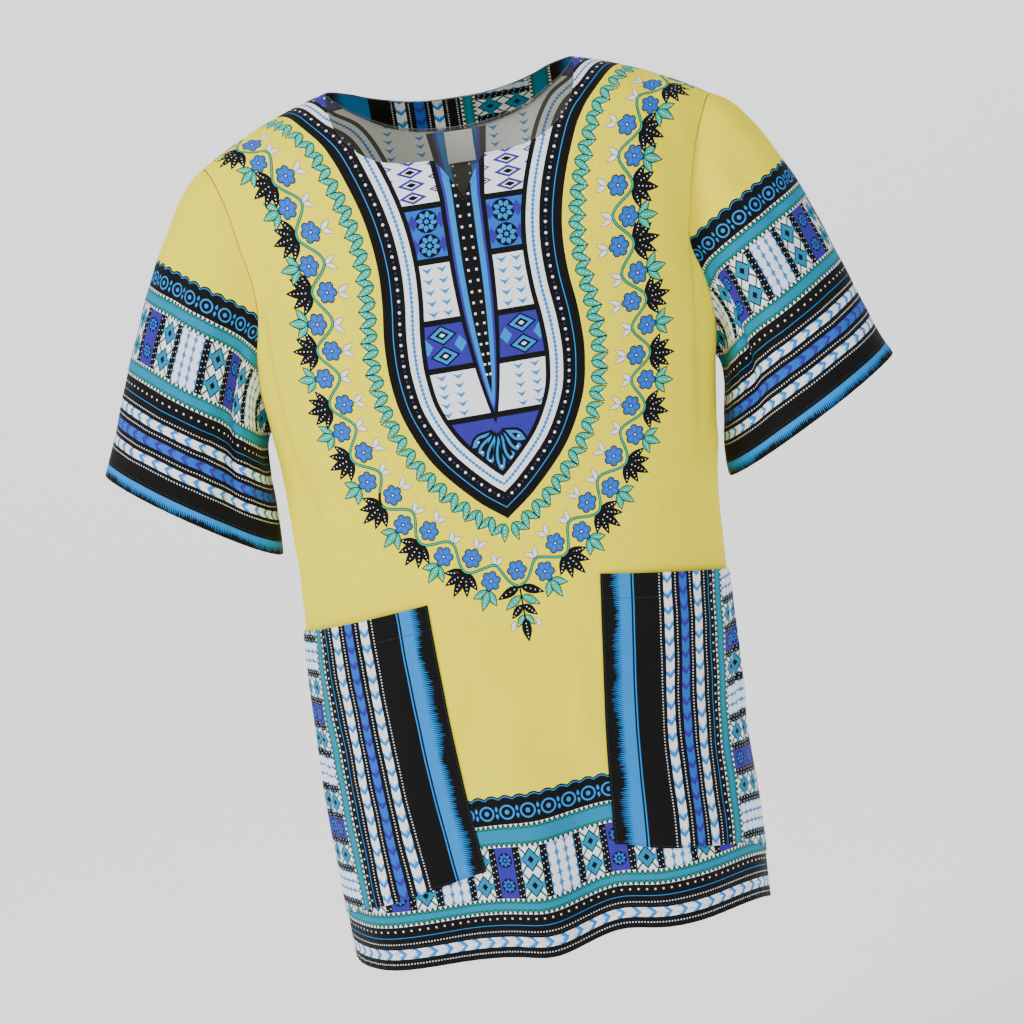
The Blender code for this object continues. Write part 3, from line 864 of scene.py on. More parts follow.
def diamond_cell(art, t0, t1, low, high, fill="pool"):
    """Diamonds one above another on white, joined by crossing lines."""
    art.add("white", box(t0, low, t1, high))
    count = max(1, round((high - low) / 0.021))
    half_y, half_x, middle = (high - low) / count / 2, (t1 - t0) / 2, (t0 + t1) / 2
    for k in range(count):
        y = low + (2 * k + 1) * half_y
        for way in (1, -1):
            line = np.array([(-half_x, -way * half_y), (half_x, way * half_y)])
            for colour, half in (("black", 0.0012), ("deep teal", 0.0006)):
                thick = np.array([(0, -half), (0, -half), (0, half), (0, half)])
                art.add(colour, line[[0, 1, 1, 0]] + thick + (middle, y))
        art.add("black", diamond(middle, y, half_x * 0.97, half_y * 0.97))
        art.add(fill, diamond(middle, y, half_x * 0.82, half_y * 0.82))
        art.add("black", diamond(middle, y, half_x * 0.30, half_y * 0.30))
        for edge, inward in ((t0, 1), (t1, -1)):
            tip = edge + inward * 0.30 * half_x
            art.add(fill, [(edge, y - 0.55 * half_y), (tip, y), (edge, y + 0.55 * half_y)])


def floret_cell(art, t0, t1, low, high):
    """Flower wheels one above another on violet."""
    art.add("violet", box(t0, low, t1, high))
    count = max(1, round((high - low) / 0.021))
    half_y, half_x, middle = (high - low) / count / 2, (t1 - t0) / 2, (t0 + t1) / 2
    for k in range(count):
        art.stamp(flower_wheel(min(half_x, half_y) * 0.80, "azure"), middle, low + (2 * k + 1) * half_y)


def bead_cell(art, t0, t1, low, high):
    """White scalloped columns with blue between them."""
    art.add("sky", box(t0, low, t1, high))
    wide = (t1 - t0) / 3
    step = 0.0085
    for column in range(3):
        middle = t0 + (column + 0.5) * wide
        for y in np.arange(low, high, step):
            half = min(step, high - y) / 2
            art.add("white", oval(middle, y + half, wide * 0.46, half * 1.15, 8))


def dot_cell(art, t0, t1, low, high):
    art.add("black", box(t0, low, t1, high))
    for y in np.arange(low + 0.0020, high - 0.0010, 0.0052):
        for x, rise in ((t0 + 0.25 * (t1 - t0), 0.0), (t1 - 0.25 * (t1 - t0), 0.0012)):
            art.add("white", oval(x, y + rise, 0.00055, 0.00055, 4))


CELLS = (
    # cell, width
    (bead_cell, 0.025),
    (dot_cell, 0.006),
    (diamond_cell, 0.018),
    (dot_cell, 0.006),
    (floret_cell, 0.016),
    (dot_cell, 0.006),
    (diamond_cell, 0.018),
    (dot_cell, 0.006),
)


def cell_row(art, low, high, start, end):
    """The run of cells, mirrored about the middle, where a bead cell stands."""
    centre = (start + end) / 2
    for way in (1, -1):
        edge = CELLS[0][1] / 2
        k = 1
        while centre + way * edge < end and centre + way * edge > start:
            cell, wide = CELLS[k % len(CELLS)]
            a, b = centre + way * edge, centre + way * (edge + wide)
            cell(art, min(a, b), max(a, b), low, high)
            edge += wide
            k += 1
    bead_cell(art, centre - CELLS[0][1] / 2, centre + CELLS[0][1] / 2, low, high)


def ring_row(art, low, high, start, end, step=0.0185):
    """Rings with a dot in each and a small leaf pair between."""
    art.add("black", box(start, low, end, high))
    middle, half = (low + high) / 2, (high - low) * 0.34
    for x in np.arange(start + step / 2, end, step):
        art.add("sky", oval(x, middle, half * 1.08, half, 16))
        art.add("black", oval(x, middle, half * 0.82, half * 0.76, 14))
        art.add("sky", oval(x, middle, half * 0.34, half * 0.34, 8))
        art.add("black", oval(x + step / 2, middle, 0.0004, half * 0.8, 4))
        for way in (1, -1):
            shape = leaf_shape(0.0006, half * 0.8, half * 0.42, steps=5)
            art.stamp([("sky", shape)], x + step / 2, middle, way * math.pi / 2)


def scallop_row(art, low, high, start, end, step=0.0125):
    """A dark edge of shallow scallops with a fine blue line inside it."""
    x = np.linspace(start, end, int((end - start) / step) * 6 + 1)
    wave = np.abs(np.sin(math.pi * (x - start) / step)) ** 0.7
    foot = [(start, low - 0.002), (end, low - 0.002)]
    for colour, inset in (("black", 0.0), ("sky", 0.0014), ("black", 0.0022)):
        top = low + (high - low) * (0.45 + 0.55 * wave) - inset
        art.add(colour, np.concatenate([foot, np.stack([x, top], -1)[::-1]]))


CHANCE = np.random.default_rng(7)

# %% [markdown]
# ## The neck piece
#
# The dark outline of the neck piece is one smooth path from the shoulder down to the point below
# the breast. Bands follow it inwards, and each compartment inside them holds one kind of figure.

# %% The neck piece
NECK_PIECE = (
    # px, py of the right half, from the shoulder to the point
    (0.176, 0.820),
    (0.154, 0.768),
    (0.128, 0.722),
    (0.106, 0.696),
    (0.092, 0.664),
    (0.081, 0.630),
    (0.0755, 0.598),
    (0.0755, 0.566),
    (0.0795, 0.530),
    (0.0805, 0.496),
    (0.0750, 0.462),
    (0.0570, 0.425),
    (0.0270, 0.392),
    (0.0, 0.371),
)
PRINT_SHIFT = (
    # py, how far to one side the cloth carries the print
    (0.0, 0.011),
    (0.25, 0.010),
    (0.37, 0.0015),
    (0.60, -0.0015),
    (0.80, -0.0015),
)
PLACKET_HALF = 0.0175
DARK_BAND = (0.0, 0.0186)
WHITE_BAND = (0.0186, 0.0292)
FINE_BAND = (0.0292, 0.0332)
BLOCKS = (
    # py low, py high, ground, figure
    (0.706, 0.830, "violet", "leaf pairs"),
    (0.638, 0.702, "white", "lattice"),
    (0.594, 0.633, "azure", "wheels"),
    (0.546, 0.589, "white", "triangles"),
    (0.506, 0.541, "violet", "diamonds"),
    (0.462, 0.501, "white", "triangles"),
    (0.360, 0.457, "violet", "petals"),
)
BACK_BLOCKS = (
    (0.746, 0.830, "violet", "leaf pairs"),
    (0.652, 0.742, "white", "triangles"),
    (0.594, 0.647, "azure", "wheels"),
) + BLOCKS[3:]


def smooth_path(points, step=0.003):
    """A Catmull-Rom curve through points, at even steps."""
    points = np.asarray(points, float)
    ends = np.concatenate([[2 * points[0] - points[1]], points, [2 * points[-1] - points[-2]]])
    curve = []
    for a, b, c, d in zip(ends, ends[1:], ends[2:], ends[3:]):
        t = np.linspace(0, 1, 20, endpoint=False)[:, None]
        square, cube = 2 * a - 5 * b + 4 * c - d, 3 * b - a - 3 * c + d
        curve.append(0.5 * (2 * b + (c - a) * t + square * t**2 + cube * t**3))
    curve = np.concatenate(curve + [points[-1:]])
    run = np.concatenate([[0], np.cumsum(np.hypot(*np.diff(curve, axis=0).T))])
    even = np.linspace(0, run[-1], max(2, int(run[-1] / step)))
    return np.stack([np.interp(even, run, curve[:, k]) for k in (0, 1)], -1)


PIECE_PATH = smooth_path(NECK_PIECE)


def outwards(path):
    """Unit normals of a path that runs down the right half, pointing away from the neck piece."""
    way = np.gradient(path, axis=0)
    way /= np.linalg.norm(way, axis=1, keepdims=True)
    return np.stack([-way[:, 1], way[:, 0]], -1)


def inside_path(depth):
    """The path moved inwards by depth and ended on the centre line."""
    path = PIECE_PATH - outwards(PIECE_PATH) * depth
    path = path[: np.argmax(path[:, 0] < 0)] if (path[:, 0] < 0).any() else path
    last = path[-1] - path[-2]
    end = path[-1] - last * path[-1, 0] / last[0] if last[0] < -1e-9 else path[-1]
    return np.concatenate([path, [(0.0, end[1])]])


def band(art, colour, depths):
    """A band of the neck piece between two depths, on both sides."""
    art.both(colour, np.concatenate([inside_path(depths[0]), inside_path(depths[1])[::-1]]))


def walk(path, step, start=0.0):
    """Places along a path at even steps, each with the index of the nearest point."""
    run = np.concatenate([[0], np.cumsum(np.hypot(*np.diff(path, axis=0).T))])
    at = np.arange(start, run[-1], step)
    return np.stack([np.interp(at, run, path[:, k]) for k in (0, 1)], -1), np.searchsorted(run, at)


def half_width_at(py):
    """Half the width of the neck piece at a height."""
    return float(np.interp(py, PIECE_PATH[::-1, 1], PIECE_PATH[::-1, 0]))


def draw_triangles(art, low, high, inner, outer):
    """Two columns of small arrowheads."""
    rows = max(2, round((high - low) / 0.0085))
    step = (high - low) / rows
    mark = np.array([(-0.0046, 0.0022), (0, 0.0004), (0.0046, 0.0022), (0, -0.0030)])
    for k in range(rows):
        y = low + (k + 0.5) * step
        for x in (inner + 0.26 * (outer - inner), inner + 0.74 * (outer - inner)):
            art.both("sky", mark + (x, y))


def draw_lattice(art, low, high, inner, outer):
    """Large diamonds in the middle, with small ones set between them at both sides."""
    middle = (inner + outer) / 2
    rows = round((high - low) / 0.0105)
    step = (high - low) / rows
    for k in range(rows):
        for x, size in ((middle, 1.0), (inner + 0.001, 0.62), (outer - 0.001, 0.62)):
            y = low + (k + 0.5) * step + (0.5 * step if size < 1 else 0)
            art.both("violet", diamond(x, y, 0.0115 * size, 0.0052 * size))
            art.both("white", diamond(x, y, 0.0070 * size, 0.0031 * size))
            art.both("black", diamond(x, y, 0.0048 * size, 0.0021 * size))


def draw_wheels(art, low, high, inner, outer):
    """Two flower wheels, with a diamond at each side of them."""
    step = (high - low) / 2
    for k in range(2):
        y = low + (k + 0.5) * step
        art.stamp(flower_wheel(0.0094, "sky"), (inner + outer) / 2, y, 0.2, mirrored=True)
        for x in (inner + 0.002, outer - 0.002):
            art.both("violet", diamond(x, y, 0.004, 0.007))


def draw_diamonds(art, low, high, inner, outer):
    """Two large diamonds, each made of four inside one another, and small ones at the sides."""
    half = (high - low) / 4
    for k in range(2):
        y = low + (k + 0.5) * (high - low) / 2
        for colour, grow in (("black", 0.98), ("sky", 0.80), ("black", 0.46), ("white", 0.20)):
            art.both(colour, diamond((inner + outer) / 2, y, 0.0125 * grow, half * grow))
        for x in (inner + 0.001, outer - 0.001):
            art.both("sky", diamond(x, low + (high - low) / 2, 0.005, half * 0.8))


def draw_leaf_pairs(art, low, high, inner, outer):
    """Rows of small white leaves that follow the edge up to the shoulder."""
    for y in np.arange(low + 0.012, high, 0.015):
        near = half_width_at(y) - FINE_BAND[1]
        for k, x in enumerate(np.arange(near - 0.006, 0.02, -0.012)):
            art.stamp(small_leaf(0.008, 0.0034), x, y + 0.004 * (k % 2), -1.1, mirrored=True)


def draw_petals(art, low, high, inner, outer):
    """Seven petals that fan out downwards from under the centre strip."""
    for k in range(-3, 4):
        length = 0.040 - 0.0045 * abs(k)
        petal = [
            ("black", leaf_shape(0.004, length, 0.0125, blunt=1.2)),
            ("sky", leaf_shape(0.008, length - 0.007, 0.0080, blunt=1.2)),
            ("black", leaf_shape(0.014, length - 0.018, 0.0036, blunt=1.2)),
            ("white", oval(length - 0.006, 0, 0.0011, 0.0011, 6)),
        ]
        art.stamp(petal, 0.0, 0.450, -math.pi / 2 + k * 0.33)


FIGURES = {
    "triangles": draw_triangles,
    "lattice": draw_lattice,
    "wheels": draw_wheels,
    "diamonds": draw_diamonds,
    "leaf pairs": draw_leaf_pairs,
    "petals": draw_petals,
}


def fill_block(art, low, high, ground, figure):
    """One compartment between the centre strip and the fine band, with its figure."""
    side = inside_path(sum(FINE_BAND) / 2)
    side = side[(side[:, 1] > low) & (side[:, 1] < high)]
    foot = max(low, side[-1, 1] - 0.003)
    corners = [(side[-1, 0], foot), (0.0, foot), (0.0, high)]
    art.both(ground, np.concatenate([[(side[0, 0], high)], side, corners]))
    outer = half_width_at((low + high) / 2) - FINE_BAND[1]
    FIGURES[figure](art, low, high, PLACKET_HALF, outer)


def draw_neck_piece(art, blocks):
    art.both("black", np.concatenate([[(0.0, 0.83)], inside_path(0.0)]))
    for row in blocks:
        fill_block(art, *row)
        if half_width_at(row[0]) > 0.03:
            art.both("black", box(0.0, row[0] - 0.0052, half_width_at(row[0]) - 0.012, row[0]))
    band(art, "black", FINE_BAND)
    band(art, "white", WHITE_BAND)
    band(art, "black", DARK_BAND)
    band(art, "sky", (0.0074, 0.0082))
    draw_wave(art, sum(WHITE_BAND) / 2)
    dots = (
        # colour, radius, corners, start
        ("white", 0.0013, 6, 0.0040),
        ("violet", 0.0008, 5, 0.0084),
    )
    for colour, radius, corners, start in dots:
        places, _ = walk(inside_path(0.0135), 0.0088, start)
        for x, y in places:
            art.both(colour, oval(x, y, radius, radius, corners))
    draw_placket(art)


def draw_wave(art, depth):
    """A fine toothed blue line down the middle of the white band."""
    path = smooth_path(inside_path(depth)[::-1], 0.0018)[::-1]
    reach = (0.0005 + 0.0011 * (np.arange(len(path)) % 2))[:, None]
    out = outwards(path)
    art.both("sky", np.concatenate([path + out * reach, (path - out * reach)[::-1]]))


def draw_placket(art):
    """The dark centre strip with its blue edges, which narrows to a point."""
    outlines = (
        # colour, half width at the top, py of the point
        ("black", PLACKET_HALF, 0.452),
        ("violet", 0.0138, 0.462),
        ("sky", 0.0118, 0.466),
        ("black", 0.0072, 0.478),
    )
    for colour, half, point in outlines:
        t = np.linspace(0, 1, 16)
        py = point + (0.600 - point) * t
        px = half * np.sin(t * math.pi / 2) ** 0.75
        flare = np.array([(half * 1.05, 0.64), (half * 1.5, 0.70)])
        art.both(colour, np.concatenate([np.stack([px, py], -1), flare, [(0.0, 0.70)]]))
    for py in np.arange(0.494, 0.67, 0.0086):
        spread = float(np.interp(py, (0.48, 0.54, 0.62, 0.67), (0.0012, 0.0030, 0.0034, 0.0075)))
        art.both("white", box(spread - 0.0009, py - 0.0009, spread + 0.0009, py + 0.0009))


# %% [markdown]
# ## The garland
#
# A vine winds round the neck piece, with a rosette in each hollow that it leaves. Dark and pale
# spreads of leaves take turns outside it, and pairs of slim leaves stand close to the outline. A
# spray hangs from the vine on the centre line.

# %% The garland
PATH_STEP = 0.0015
PALMETTE_DEPTH = 0.0055
PALMETTE_STEP = 0.0128
ROSETTE_RADIUS = 0.0084
VINE_DEPTH = 0.0500
VINE_SWING = 0.0080
VINE_TURN = 0.0450


def outer_path(depth):
    """A path round the neck piece at a distance from it, from the centre line up to the shoulder."""
    out = outwards(PIECE_PATH)
    side = (PIECE_PATH + out * depth)[::-1]
    angle = np.linspace(-math.pi / 2, math.atan2(out[-1, 1], out[-1, 0]), 10, endpoint=False)
    arc = PIECE_PATH[-1] + depth * np.stack([np.cos(angle), np.sin(angle)], -1)
    return smooth_path(np.concatenate([arc[::2], side[::10], side[-1:]]), PATH_STEP)


def along_vine(turns):
    """The middle of the garland after a number of the vine's turns, and its way outwards."""
    guide = outer_path(VINE_DEPTH)
    at = min(int(turns * VINE_TURN / PATH_STEP), len(guide) - 1)
    return guide[at], -outwards(guide)[at]


def draw_palmettes(art):
    """Pairs of slim leaves that open outwards from one foot, all round the neck piece."""
    guide = outer_path(PALMETTE_DEPTH)
    places, near = walk(guide, PALMETTE_STEP, PALMETTE_STEP / 2)
    out = -outwards(guide)
    one = dotted_leaf(0.0150, 0.0056, "teal", blunt=0.75, dots=4)
    pair = turned(one, 0.42) + turned(one, -0.42) + [("white", oval(0.0105, 0, 0.0010, 0.0010, 6))]
    for (x, y), k in zip(places, near):
        way = out[min(k, len(out) - 1)]
        art.stamp(pair, x, y, math.atan2(way[1], way[0]), mirrored=True)


def draw_vine(art):
    """A vine that winds round the neck piece and leaves a hollow for a rosette at each turn."""
    guide = outer_path(VINE_DEPTH)
    run = np.arange(len(guide)) * PATH_STEP
    swing = VINE_SWING * np.cos(2 * math.pi * run / VINE_TURN)
    line = guide - outwards(guide) * swing[:, None]
    for colour, half in (("black", 0.0013), ("teal", 0.0006)):
        side = outwards(line) * half
        for k in range(0, len(line) - 1, 6):
            piece = slice(k, k + 7)
            art.both(colour, np.concatenate([(line + side)[piece], (line - side)[piece][::-1]]))


def rosette(radius, petals=6):
    """Six round petals with dark edges about a violet heart."""
    motif = []
    for colour, grow in (("black", 0.0009), ("azure", 0.0)):
        petal = oval(0.56 * radius, 0, 0.44 * radius + grow, 0.36 * radius + grow, 9)
        for k in range(petals):
            motif += turned([(colour, petal)], k * 2 * math.pi / petals)
    vein = leaf_shape(0.22 * radius, 0.60 * radius, 0.13 * radius, steps=4)
    for k in range(petals):
        motif += turned([("sky", vein)], k * 2 * math.pi / petals)
    motif.append(("violet", oval(0, 0, 0.26 * radius, 0.26 * radius, 8)))
    motif.append(("white", oval(0, 0, 0.0009, 0.0009, 5)))
    return motif


def leaf_spread(length, width, fill, angles):
    """Dotted leaves that spread from one foot."""
    motif = []
    for angle in angles:
        reach = length * (1 - 0.0035 * abs(angle))
        motif += turned(dotted_leaf(reach, width, fill, dots=5), math.radians(angle))
    return motif


def draw_garland(art):
    """Rosettes in the vine's turns, with dark and pale leaf spreads outside them by turns."""
    turns = len(outer_path(VINE_DEPTH)) * PATH_STEP / VINE_TURN
    dark = leaf_spread(0.0230, 0.0066, "black", (-62, 62, -31, 31, 0))
    pale = leaf_spread(0.0170, 0.0062, "teal", (-48, 48, 0))
    buds = turned(small_leaf(0.0105, 0.0040), 0.55) + turned(small_leaf(0.0105, 0.0040), -0.55)
    for half_turns in range(1, int(2 * turns)):
        place, out = along_vine(half_turns / 2)
        turn = math.atan2(out[1], out[0])
        if half_turns % 2 == 0:
            foot, heart, bud = VINE_SWING + 0.0006, -0.0052, -0.0150
            spread = dark
        else:
            foot, heart, bud = 0.0150, 0.0058, -VINE_SWING - 0.0008
            spread = pale
        stamps = (
            # motif, how far outwards, way
            (spread, foot, turn),
            (buds, bud, turn + math.pi),
            (rosette(ROSETTE_RADIUS), heart, turn),
        )
        for motif, depth, way in stamps:
            art.stamp(motif, *(place + out * depth), way, mirrored=True)


def draw_pendant(art):
    """The spray that hangs from the vine on the centre line."""
    place, _ = along_vine(0)
    foot = place[1] - VINE_SWING
    art.add("black", box(-0.0008, foot - 0.030, 0.0008, foot))
    art.stamp(rosette(ROSETTE_RADIUS), 0.0, place[1] + 0.0052)
    leaves = (
        # down from the vine, length, width, colour, degrees below level
        (0.001, 0.021, 0.0066, "black", 22),
        (0.009, 0.017, 0.0062, "teal", 34),
        (0.017, 0.014, 0.0056, "black", 44),
        (0.026, 0.011, 0.0048, "teal", 52),
    )
    for down, length, width, colour, angle in leaves:
        leaf = dotted_leaf(length, width, colour, dots=4)
        art.stamp(leaf, 0.0008, foot - down, math.radians(-angle), mirrored=True)
    art.stamp(dotted_leaf(0.019, 0.0070, "black"), 0.0, foot - 0.029, -math.pi / 2)
    for shift in (-1, 1):
        art.stamp(small_leaf(0.0090, 0.0036), shift * 0.010, foot - 0.030, -math.pi / 2 + 0.35 * shift)


def shift_print(points):
    """Body prints sit a little to one side, by height."""
    heights, shifts = np.array(PRINT_SHIFT).T
    return points + np.stack([np.interp(points[:, 1], heights, shifts), 0 * points[:, 1]], -1)


# %% [markdown]
# ## Prints for every piece
#
# The hem, the cuffs and the pockets show the same border in different widths. Each table lists its
# rows from the outer edge inwards.

# %% Prints for every piece
def arrows_down(art, low, high, start, end):
    arrow_row(art, low, high, start, end, point=-1)


def blue_arrows(art, low, high, start, end):
    arrow_row(art, low, high, start, end, ground="azure", mark="violet", point=-1)


def sky_line(art, low, high, start, end):
    plain_row(art, low, high, start, end, "sky")


HEM_ROWS = (
    # row, low, high
    (plain_row, -0.002, 0.1345),
    (dot_row, 0.0045, 0.0055),
    (arrow_row, 0.0095, 0.0180),
    (dot_row, 0.0223, 0.0233),
    (sky_line, 0.0280, 0.0286),
    (sparse_dots, 0.0335, 0.0345),
    (zigzag_row, 0.0376, 0.0515),
    (cell_row, 0.0515, 0.0950),
    (zigzag_row, 0.0950, 0.1150),
    (ring_row, 0.1155, 0.1345),
    (scallop_row, 0.1345, 0.1400),
)
SLEEVE_ROWS = (
    (plain_row, -0.002, 0.1880),
    (fringe_row, 0.0000, 0.0115),
    (dot_row, 0.0270, 0.0280),
    (arrows_down, 0.0310, 0.0385),
    (dot_row, 0.0420, 0.0430),
    (blue_arrows, 0.0465, 0.0545),
    (dot_row, 0.0580, 0.0590),
    (arrows_down, 0.0625, 0.0700),
    (dot_row, 0.0735, 0.0745),
    (sky_line, 0.0803, 0.0809),
    (sparse_dots, 0.0865, 0.0875),
    (zigzag_row, 0.0930, 0.1090),
    (cell_row, 0.1090, 0.1560),
    (zigzag_row, 0.1560, 0.1720),
    (ring_row, 0.1722, 0.1900),
    (scallop_row, 0.1900, 0.1960),
)
POCKET_ROWS = (
    (plain_row, -0.004, 0.2100),
    (fringe_row, 0.0060, 0.0270),
    (sky_line, 0.0286, 0.0298),
    (dot_row, 0.0534, 0.0544),
    (arrows_down, 0.0579, 0.0660),
    (dot_row, 0.0694, 0.0704),
    (blue_arrows, 0.0739, 0.0815),
    (dot_row, 0.0845, 0.0855),
    (arrows_down, 0.0887, 0.0970),
    (dot_row, 0.1006, 0.1016),
    (sky_line, 0.1060, 0.1067),
    (sparse_dots, 0.1095, 0.1105),
    (zigzag_row, 0.1130, 0.1280),
    (cell_row, 0.1280, 0.2100),
)
FACING_ROWS = (
    (plain_row, -0.20, 0.20),
    (fringe_row, -0.104, -0.072),
    (dot_row, -0.0535, -0.0525),
    (arrows_down, -0.0500, -0.0415),
    (dot_row, -0.0390, -0.0380),
    (blue_arrows, -0.0340, -0.0250),
    (dot_row, -0.0225, -0.0215),
    (arrows_down, -0.0180, -0.0095),
    (dot_row, -0.0065, -0.0055),
    (dot_row, 0.0020, 0.0035),
    (zigzag_row, 0.0055, 0.0190),
    (cell_row, 0.0190, 0.0660),
    (zigzag_row, 0.0660, 0.0860),
    (fringe_row, 0.0900, 0.1400),
)


def draw_rows(art, rows, start, end):
    for row, low, high in rows:
        row(art, low, high, start, end)


def body_print(blocks):
    art = Print(place=shift_print)
    draw_palmettes(art)
    draw_garland(art)
    draw_vine(art)
    draw_pendant(art)
    draw_neck_piece(art, blocks)
    draw_rows(art, HEM_ROWS, -0.272, 0.272)
    return art


def sleeve_print():
    art = Print()
    draw_rows(art, SLEEVE_ROWS, -0.256, 0.256)
    return art


def pocket_print(side):
    """Stripes that run parallel to the slanting inner edge."""

    def place(points):
        py, depth = points[:, 0], points[:, 1]
        return np.stack([side * (pocket_inner(py) + depth), py], -1)

    art = Print(place, ground="black")
    draw_rows(art, POCKET_ROWS, 0.030, 0.318)
    return art


def facing_print():
    """Stripes that run up and down across the strip."""

    def place(points):
        return points[:, ::-1].copy()

    art = Print(place, ground="black")
    draw_rows(art, FACING_ROWS, 0.680, 0.815)
    return art


# %% [markdown]
# ## From print to cloth
#
# All outlines go into one constrained triangulation together with evenly spread points. Each
# triangle takes the colour of the last shape that covers it. The flat triangles are then draped
# twice, for the outer and the inner face, and joined by a rim.

# %% Print to cloth
FILL_STEP = 0.0065
CUT_EDGE = (0.10, 0.10, 0.11, 1.0)


def filling(outline, step):
    """Evenly spread points over an outline's box, in a triangular pattern."""
    low, high = outline.min(0), outline.max(0)
    rows = np.arange(low[1] + step / 2, high[1], step * 0.866)
    points = [
        np.array([(x, y) for x in np.arange(low[0] + step * (0.25 + 0.5 * (k % 2)), high[0], step)])
        for k, y in enumerate(rows)
    ]
    return np.concatenate(points)


def covers(shape, spots):
    """Which spots lie inside a shape, by how often a line to the right crosses its sides."""
    x, y = spots[:, :1], spots[:, 1:]
    start, end = shape, np.roll(shape, -1, axis=0)
    beside = (start[:, 1] > y) != (end[:, 1] > y)
    rise = np.where(beside, end[:, 1] - start[:, 1], 1.0)
    crossing = start[:, 0] + (end[:, 0] - start[:, 0]) * (y - start[:, 1]) / rise
    return (beside & (x < crossing)).sum(1) % 2 == 1


def doubled_area(shape):
    x, y = shape[:, 0], shape[:, 1]
    return abs(np.dot(x, np.roll(y, -1)) - np.dot(y, np.roll(x, -1)))


def top_shapes(corners, sources, shapes):
    """The last shape over each triangle. Where the triangulation gives a shape more ground than it
    has, its triangles are tested one by one."""
    spots = corners.mean(1)
    ground = np.array([doubled_area(triangle) for triangle in corners])
    owner = np.repeat(np.arange(len(sources)), [len(source) for source in sources])
    shape = np.concatenate(sources)
    given = np.bincount(shape, ground[owner], len(shapes))
    own = np.array([doubled_area(points) for points in shapes])
    holds = np.ones(len(shape), dtype=bool)
    for k in np.flatnonzero(given > 1.02 * own + 1e-8):
        rows = np.flatnonzero(shape == k)
        holds[rows] = covers(shapes[k], spots[owner[rows]])
    top = np.zeros(len(sources), dtype=int)
    np.maximum.at(top, owner[holds], shape[holds])
    return top


def triangulate(outline, art, step):
    """Flat points, triangles and each triangle's colour."""
    outline = turned_left(divided(outline))
    low, high = outline.min(0), outline.max(0)
    groups, faces, colours = [outline], [list(range(len(outline)))], [art.ground]
    total = len(outline)
    for colour, points in art.shapes:
        if (points.max(0) < low).any() or (points.min(0) > high).any():
            continue
        groups.append(points)
        faces.append(list(range(total, total + len(points))))
        colours.append(colour)
        total += len(points)
    groups.append(filling(outline, step))
    flat = [Vector(p) for p in np.concatenate(groups)]
    points, _, triangles, _, _, sources = delaunay_2d_cdt(flat, [], faces, 0, 1e-6, True)
    kept = [k for k, source in enumerate(sources) if 0 in source]
    points, triangles = np.array([tuple(p) for p in points]), np.array([triangles[k] for k in kept])
    top = top_shapes(points[triangles], [sources[k] for k in kept], groups[:-1])
    palette = np.array([COLOURS[colour] + (1.0,) for colour in colours])
    return points, triangles, palette[top]


def rim_edges(triangles):
    """Edges that belong to one triangle only, in that triangle's direction."""
    edges = np.concatenate([triangles[:, (0, 1)], triangles[:, (1, 2)], triangles[:, (2, 0)]])
    key = np.sort(edges, 1)
    _, first, count = np.unique(key, axis=0, return_index=True, return_counts=True)
    return edges[first[count == 1]]


def surface_normals(to_world, flat, flip):
    """Normals of the draped cloth by small steps on the flat cut."""
    step = 0.0006
    x, y = flat[:, 0], flat[:, 1]
    across = to_world(x + step, y, 0.0) - to_world(x - step, y, 0.0)
    up = to_world(x, y + step, 0.0) - to_world(x, y - step, 0.0)
    normal = np.cross(across, up) * flip
    return normal / np.maximum(np.linalg.norm(normal, axis=1, keepdims=True), 1e-12)


def bake_layout(flat, side):
    """Places on the bake map: the outer face on its left half and the inner face on its right."""
    low, high = flat.min(0), flat.max(0)
    share = (flat - low) / (high - low)
    return np.stack([0.01 + 0.47 * share[:, 0] + 0.5 * side, 0.04 + 0.95 * share[:, 1]], -1)


def make_cloth(name, outline, art, to_world, materials, flip=1, thickness=CLOTH, step=FILL_STEP):
    """A printed piece of cloth from its flat outline, its print and its draping function."""
    flat, triangles, tones = triangulate(outline, art, step)
    used, triangles = np.unique(triangles, return_inverse=True)
    flat, triangles = flat[used], triangles.reshape(-1, 3)
    normals = surface_normals(to_world, flat, flip)
    middle = to_world(flat[:, 0], flat[:, 1], 0.0)
    count = len(flat)
    points = np.concatenate([middle + normals * thickness / 2, middle - normals * thickness / 2])
    rim = rim_edges(triangles)
    outer = triangles[:, ::flip]
    inner = triangles[:, ::-flip] + count
    a, b = (rim[:, 0], rim[:, 1]) if flip > 0 else (rim[:, 1], rim[:, 0])
    wall = np.concatenate([np.stack([b, a, a + count], 1), np.stack([b, a + count, b + count], 1)])
    faces = np.concatenate([outer, inner, wall])
    mesh = bpy.data.meshes.new(name)
    mesh.from_pydata(points.tolist(), [], faces.tolist())
    paint(mesh, np.concatenate([tones, tones, np.tile(CUT_EDGE, (len(wall), 1))]))
    lay_out(mesh, flat, faces, count, len(triangles))
    for material in materials:
        mesh.materials.append(material)
    slots = np.zeros(len(faces), dtype=np.int32)
    slots[len(triangles) : 2 * len(triangles)] = len(materials) - 1
    mesh.polygons.foreach_set("material_index", slots)
    mesh.polygons.foreach_set("use_smooth", np.ones(len(faces), dtype=bool))
    mesh.normals_split_custom_set_from_vertices(np.concatenate([normals, -normals]).tolist())
    cloth = bpy.data.objects.new(name, mesh)
    bpy.context.scene.collection.objects.link(cloth)
    print(f"{name}: {len(faces)} triangles, {len(art.shapes)} shapes of colour")
    return cloth


def paint(mesh, tones):
    """Store each triangle's colour on its corners."""
    layer = mesh.color_attributes.new("print", "FLOAT_COLOR", "CORNER")
    layer.data.foreach_set("color", np.repeat(tones, 3, axis=0).astype(np.float32).ravel())


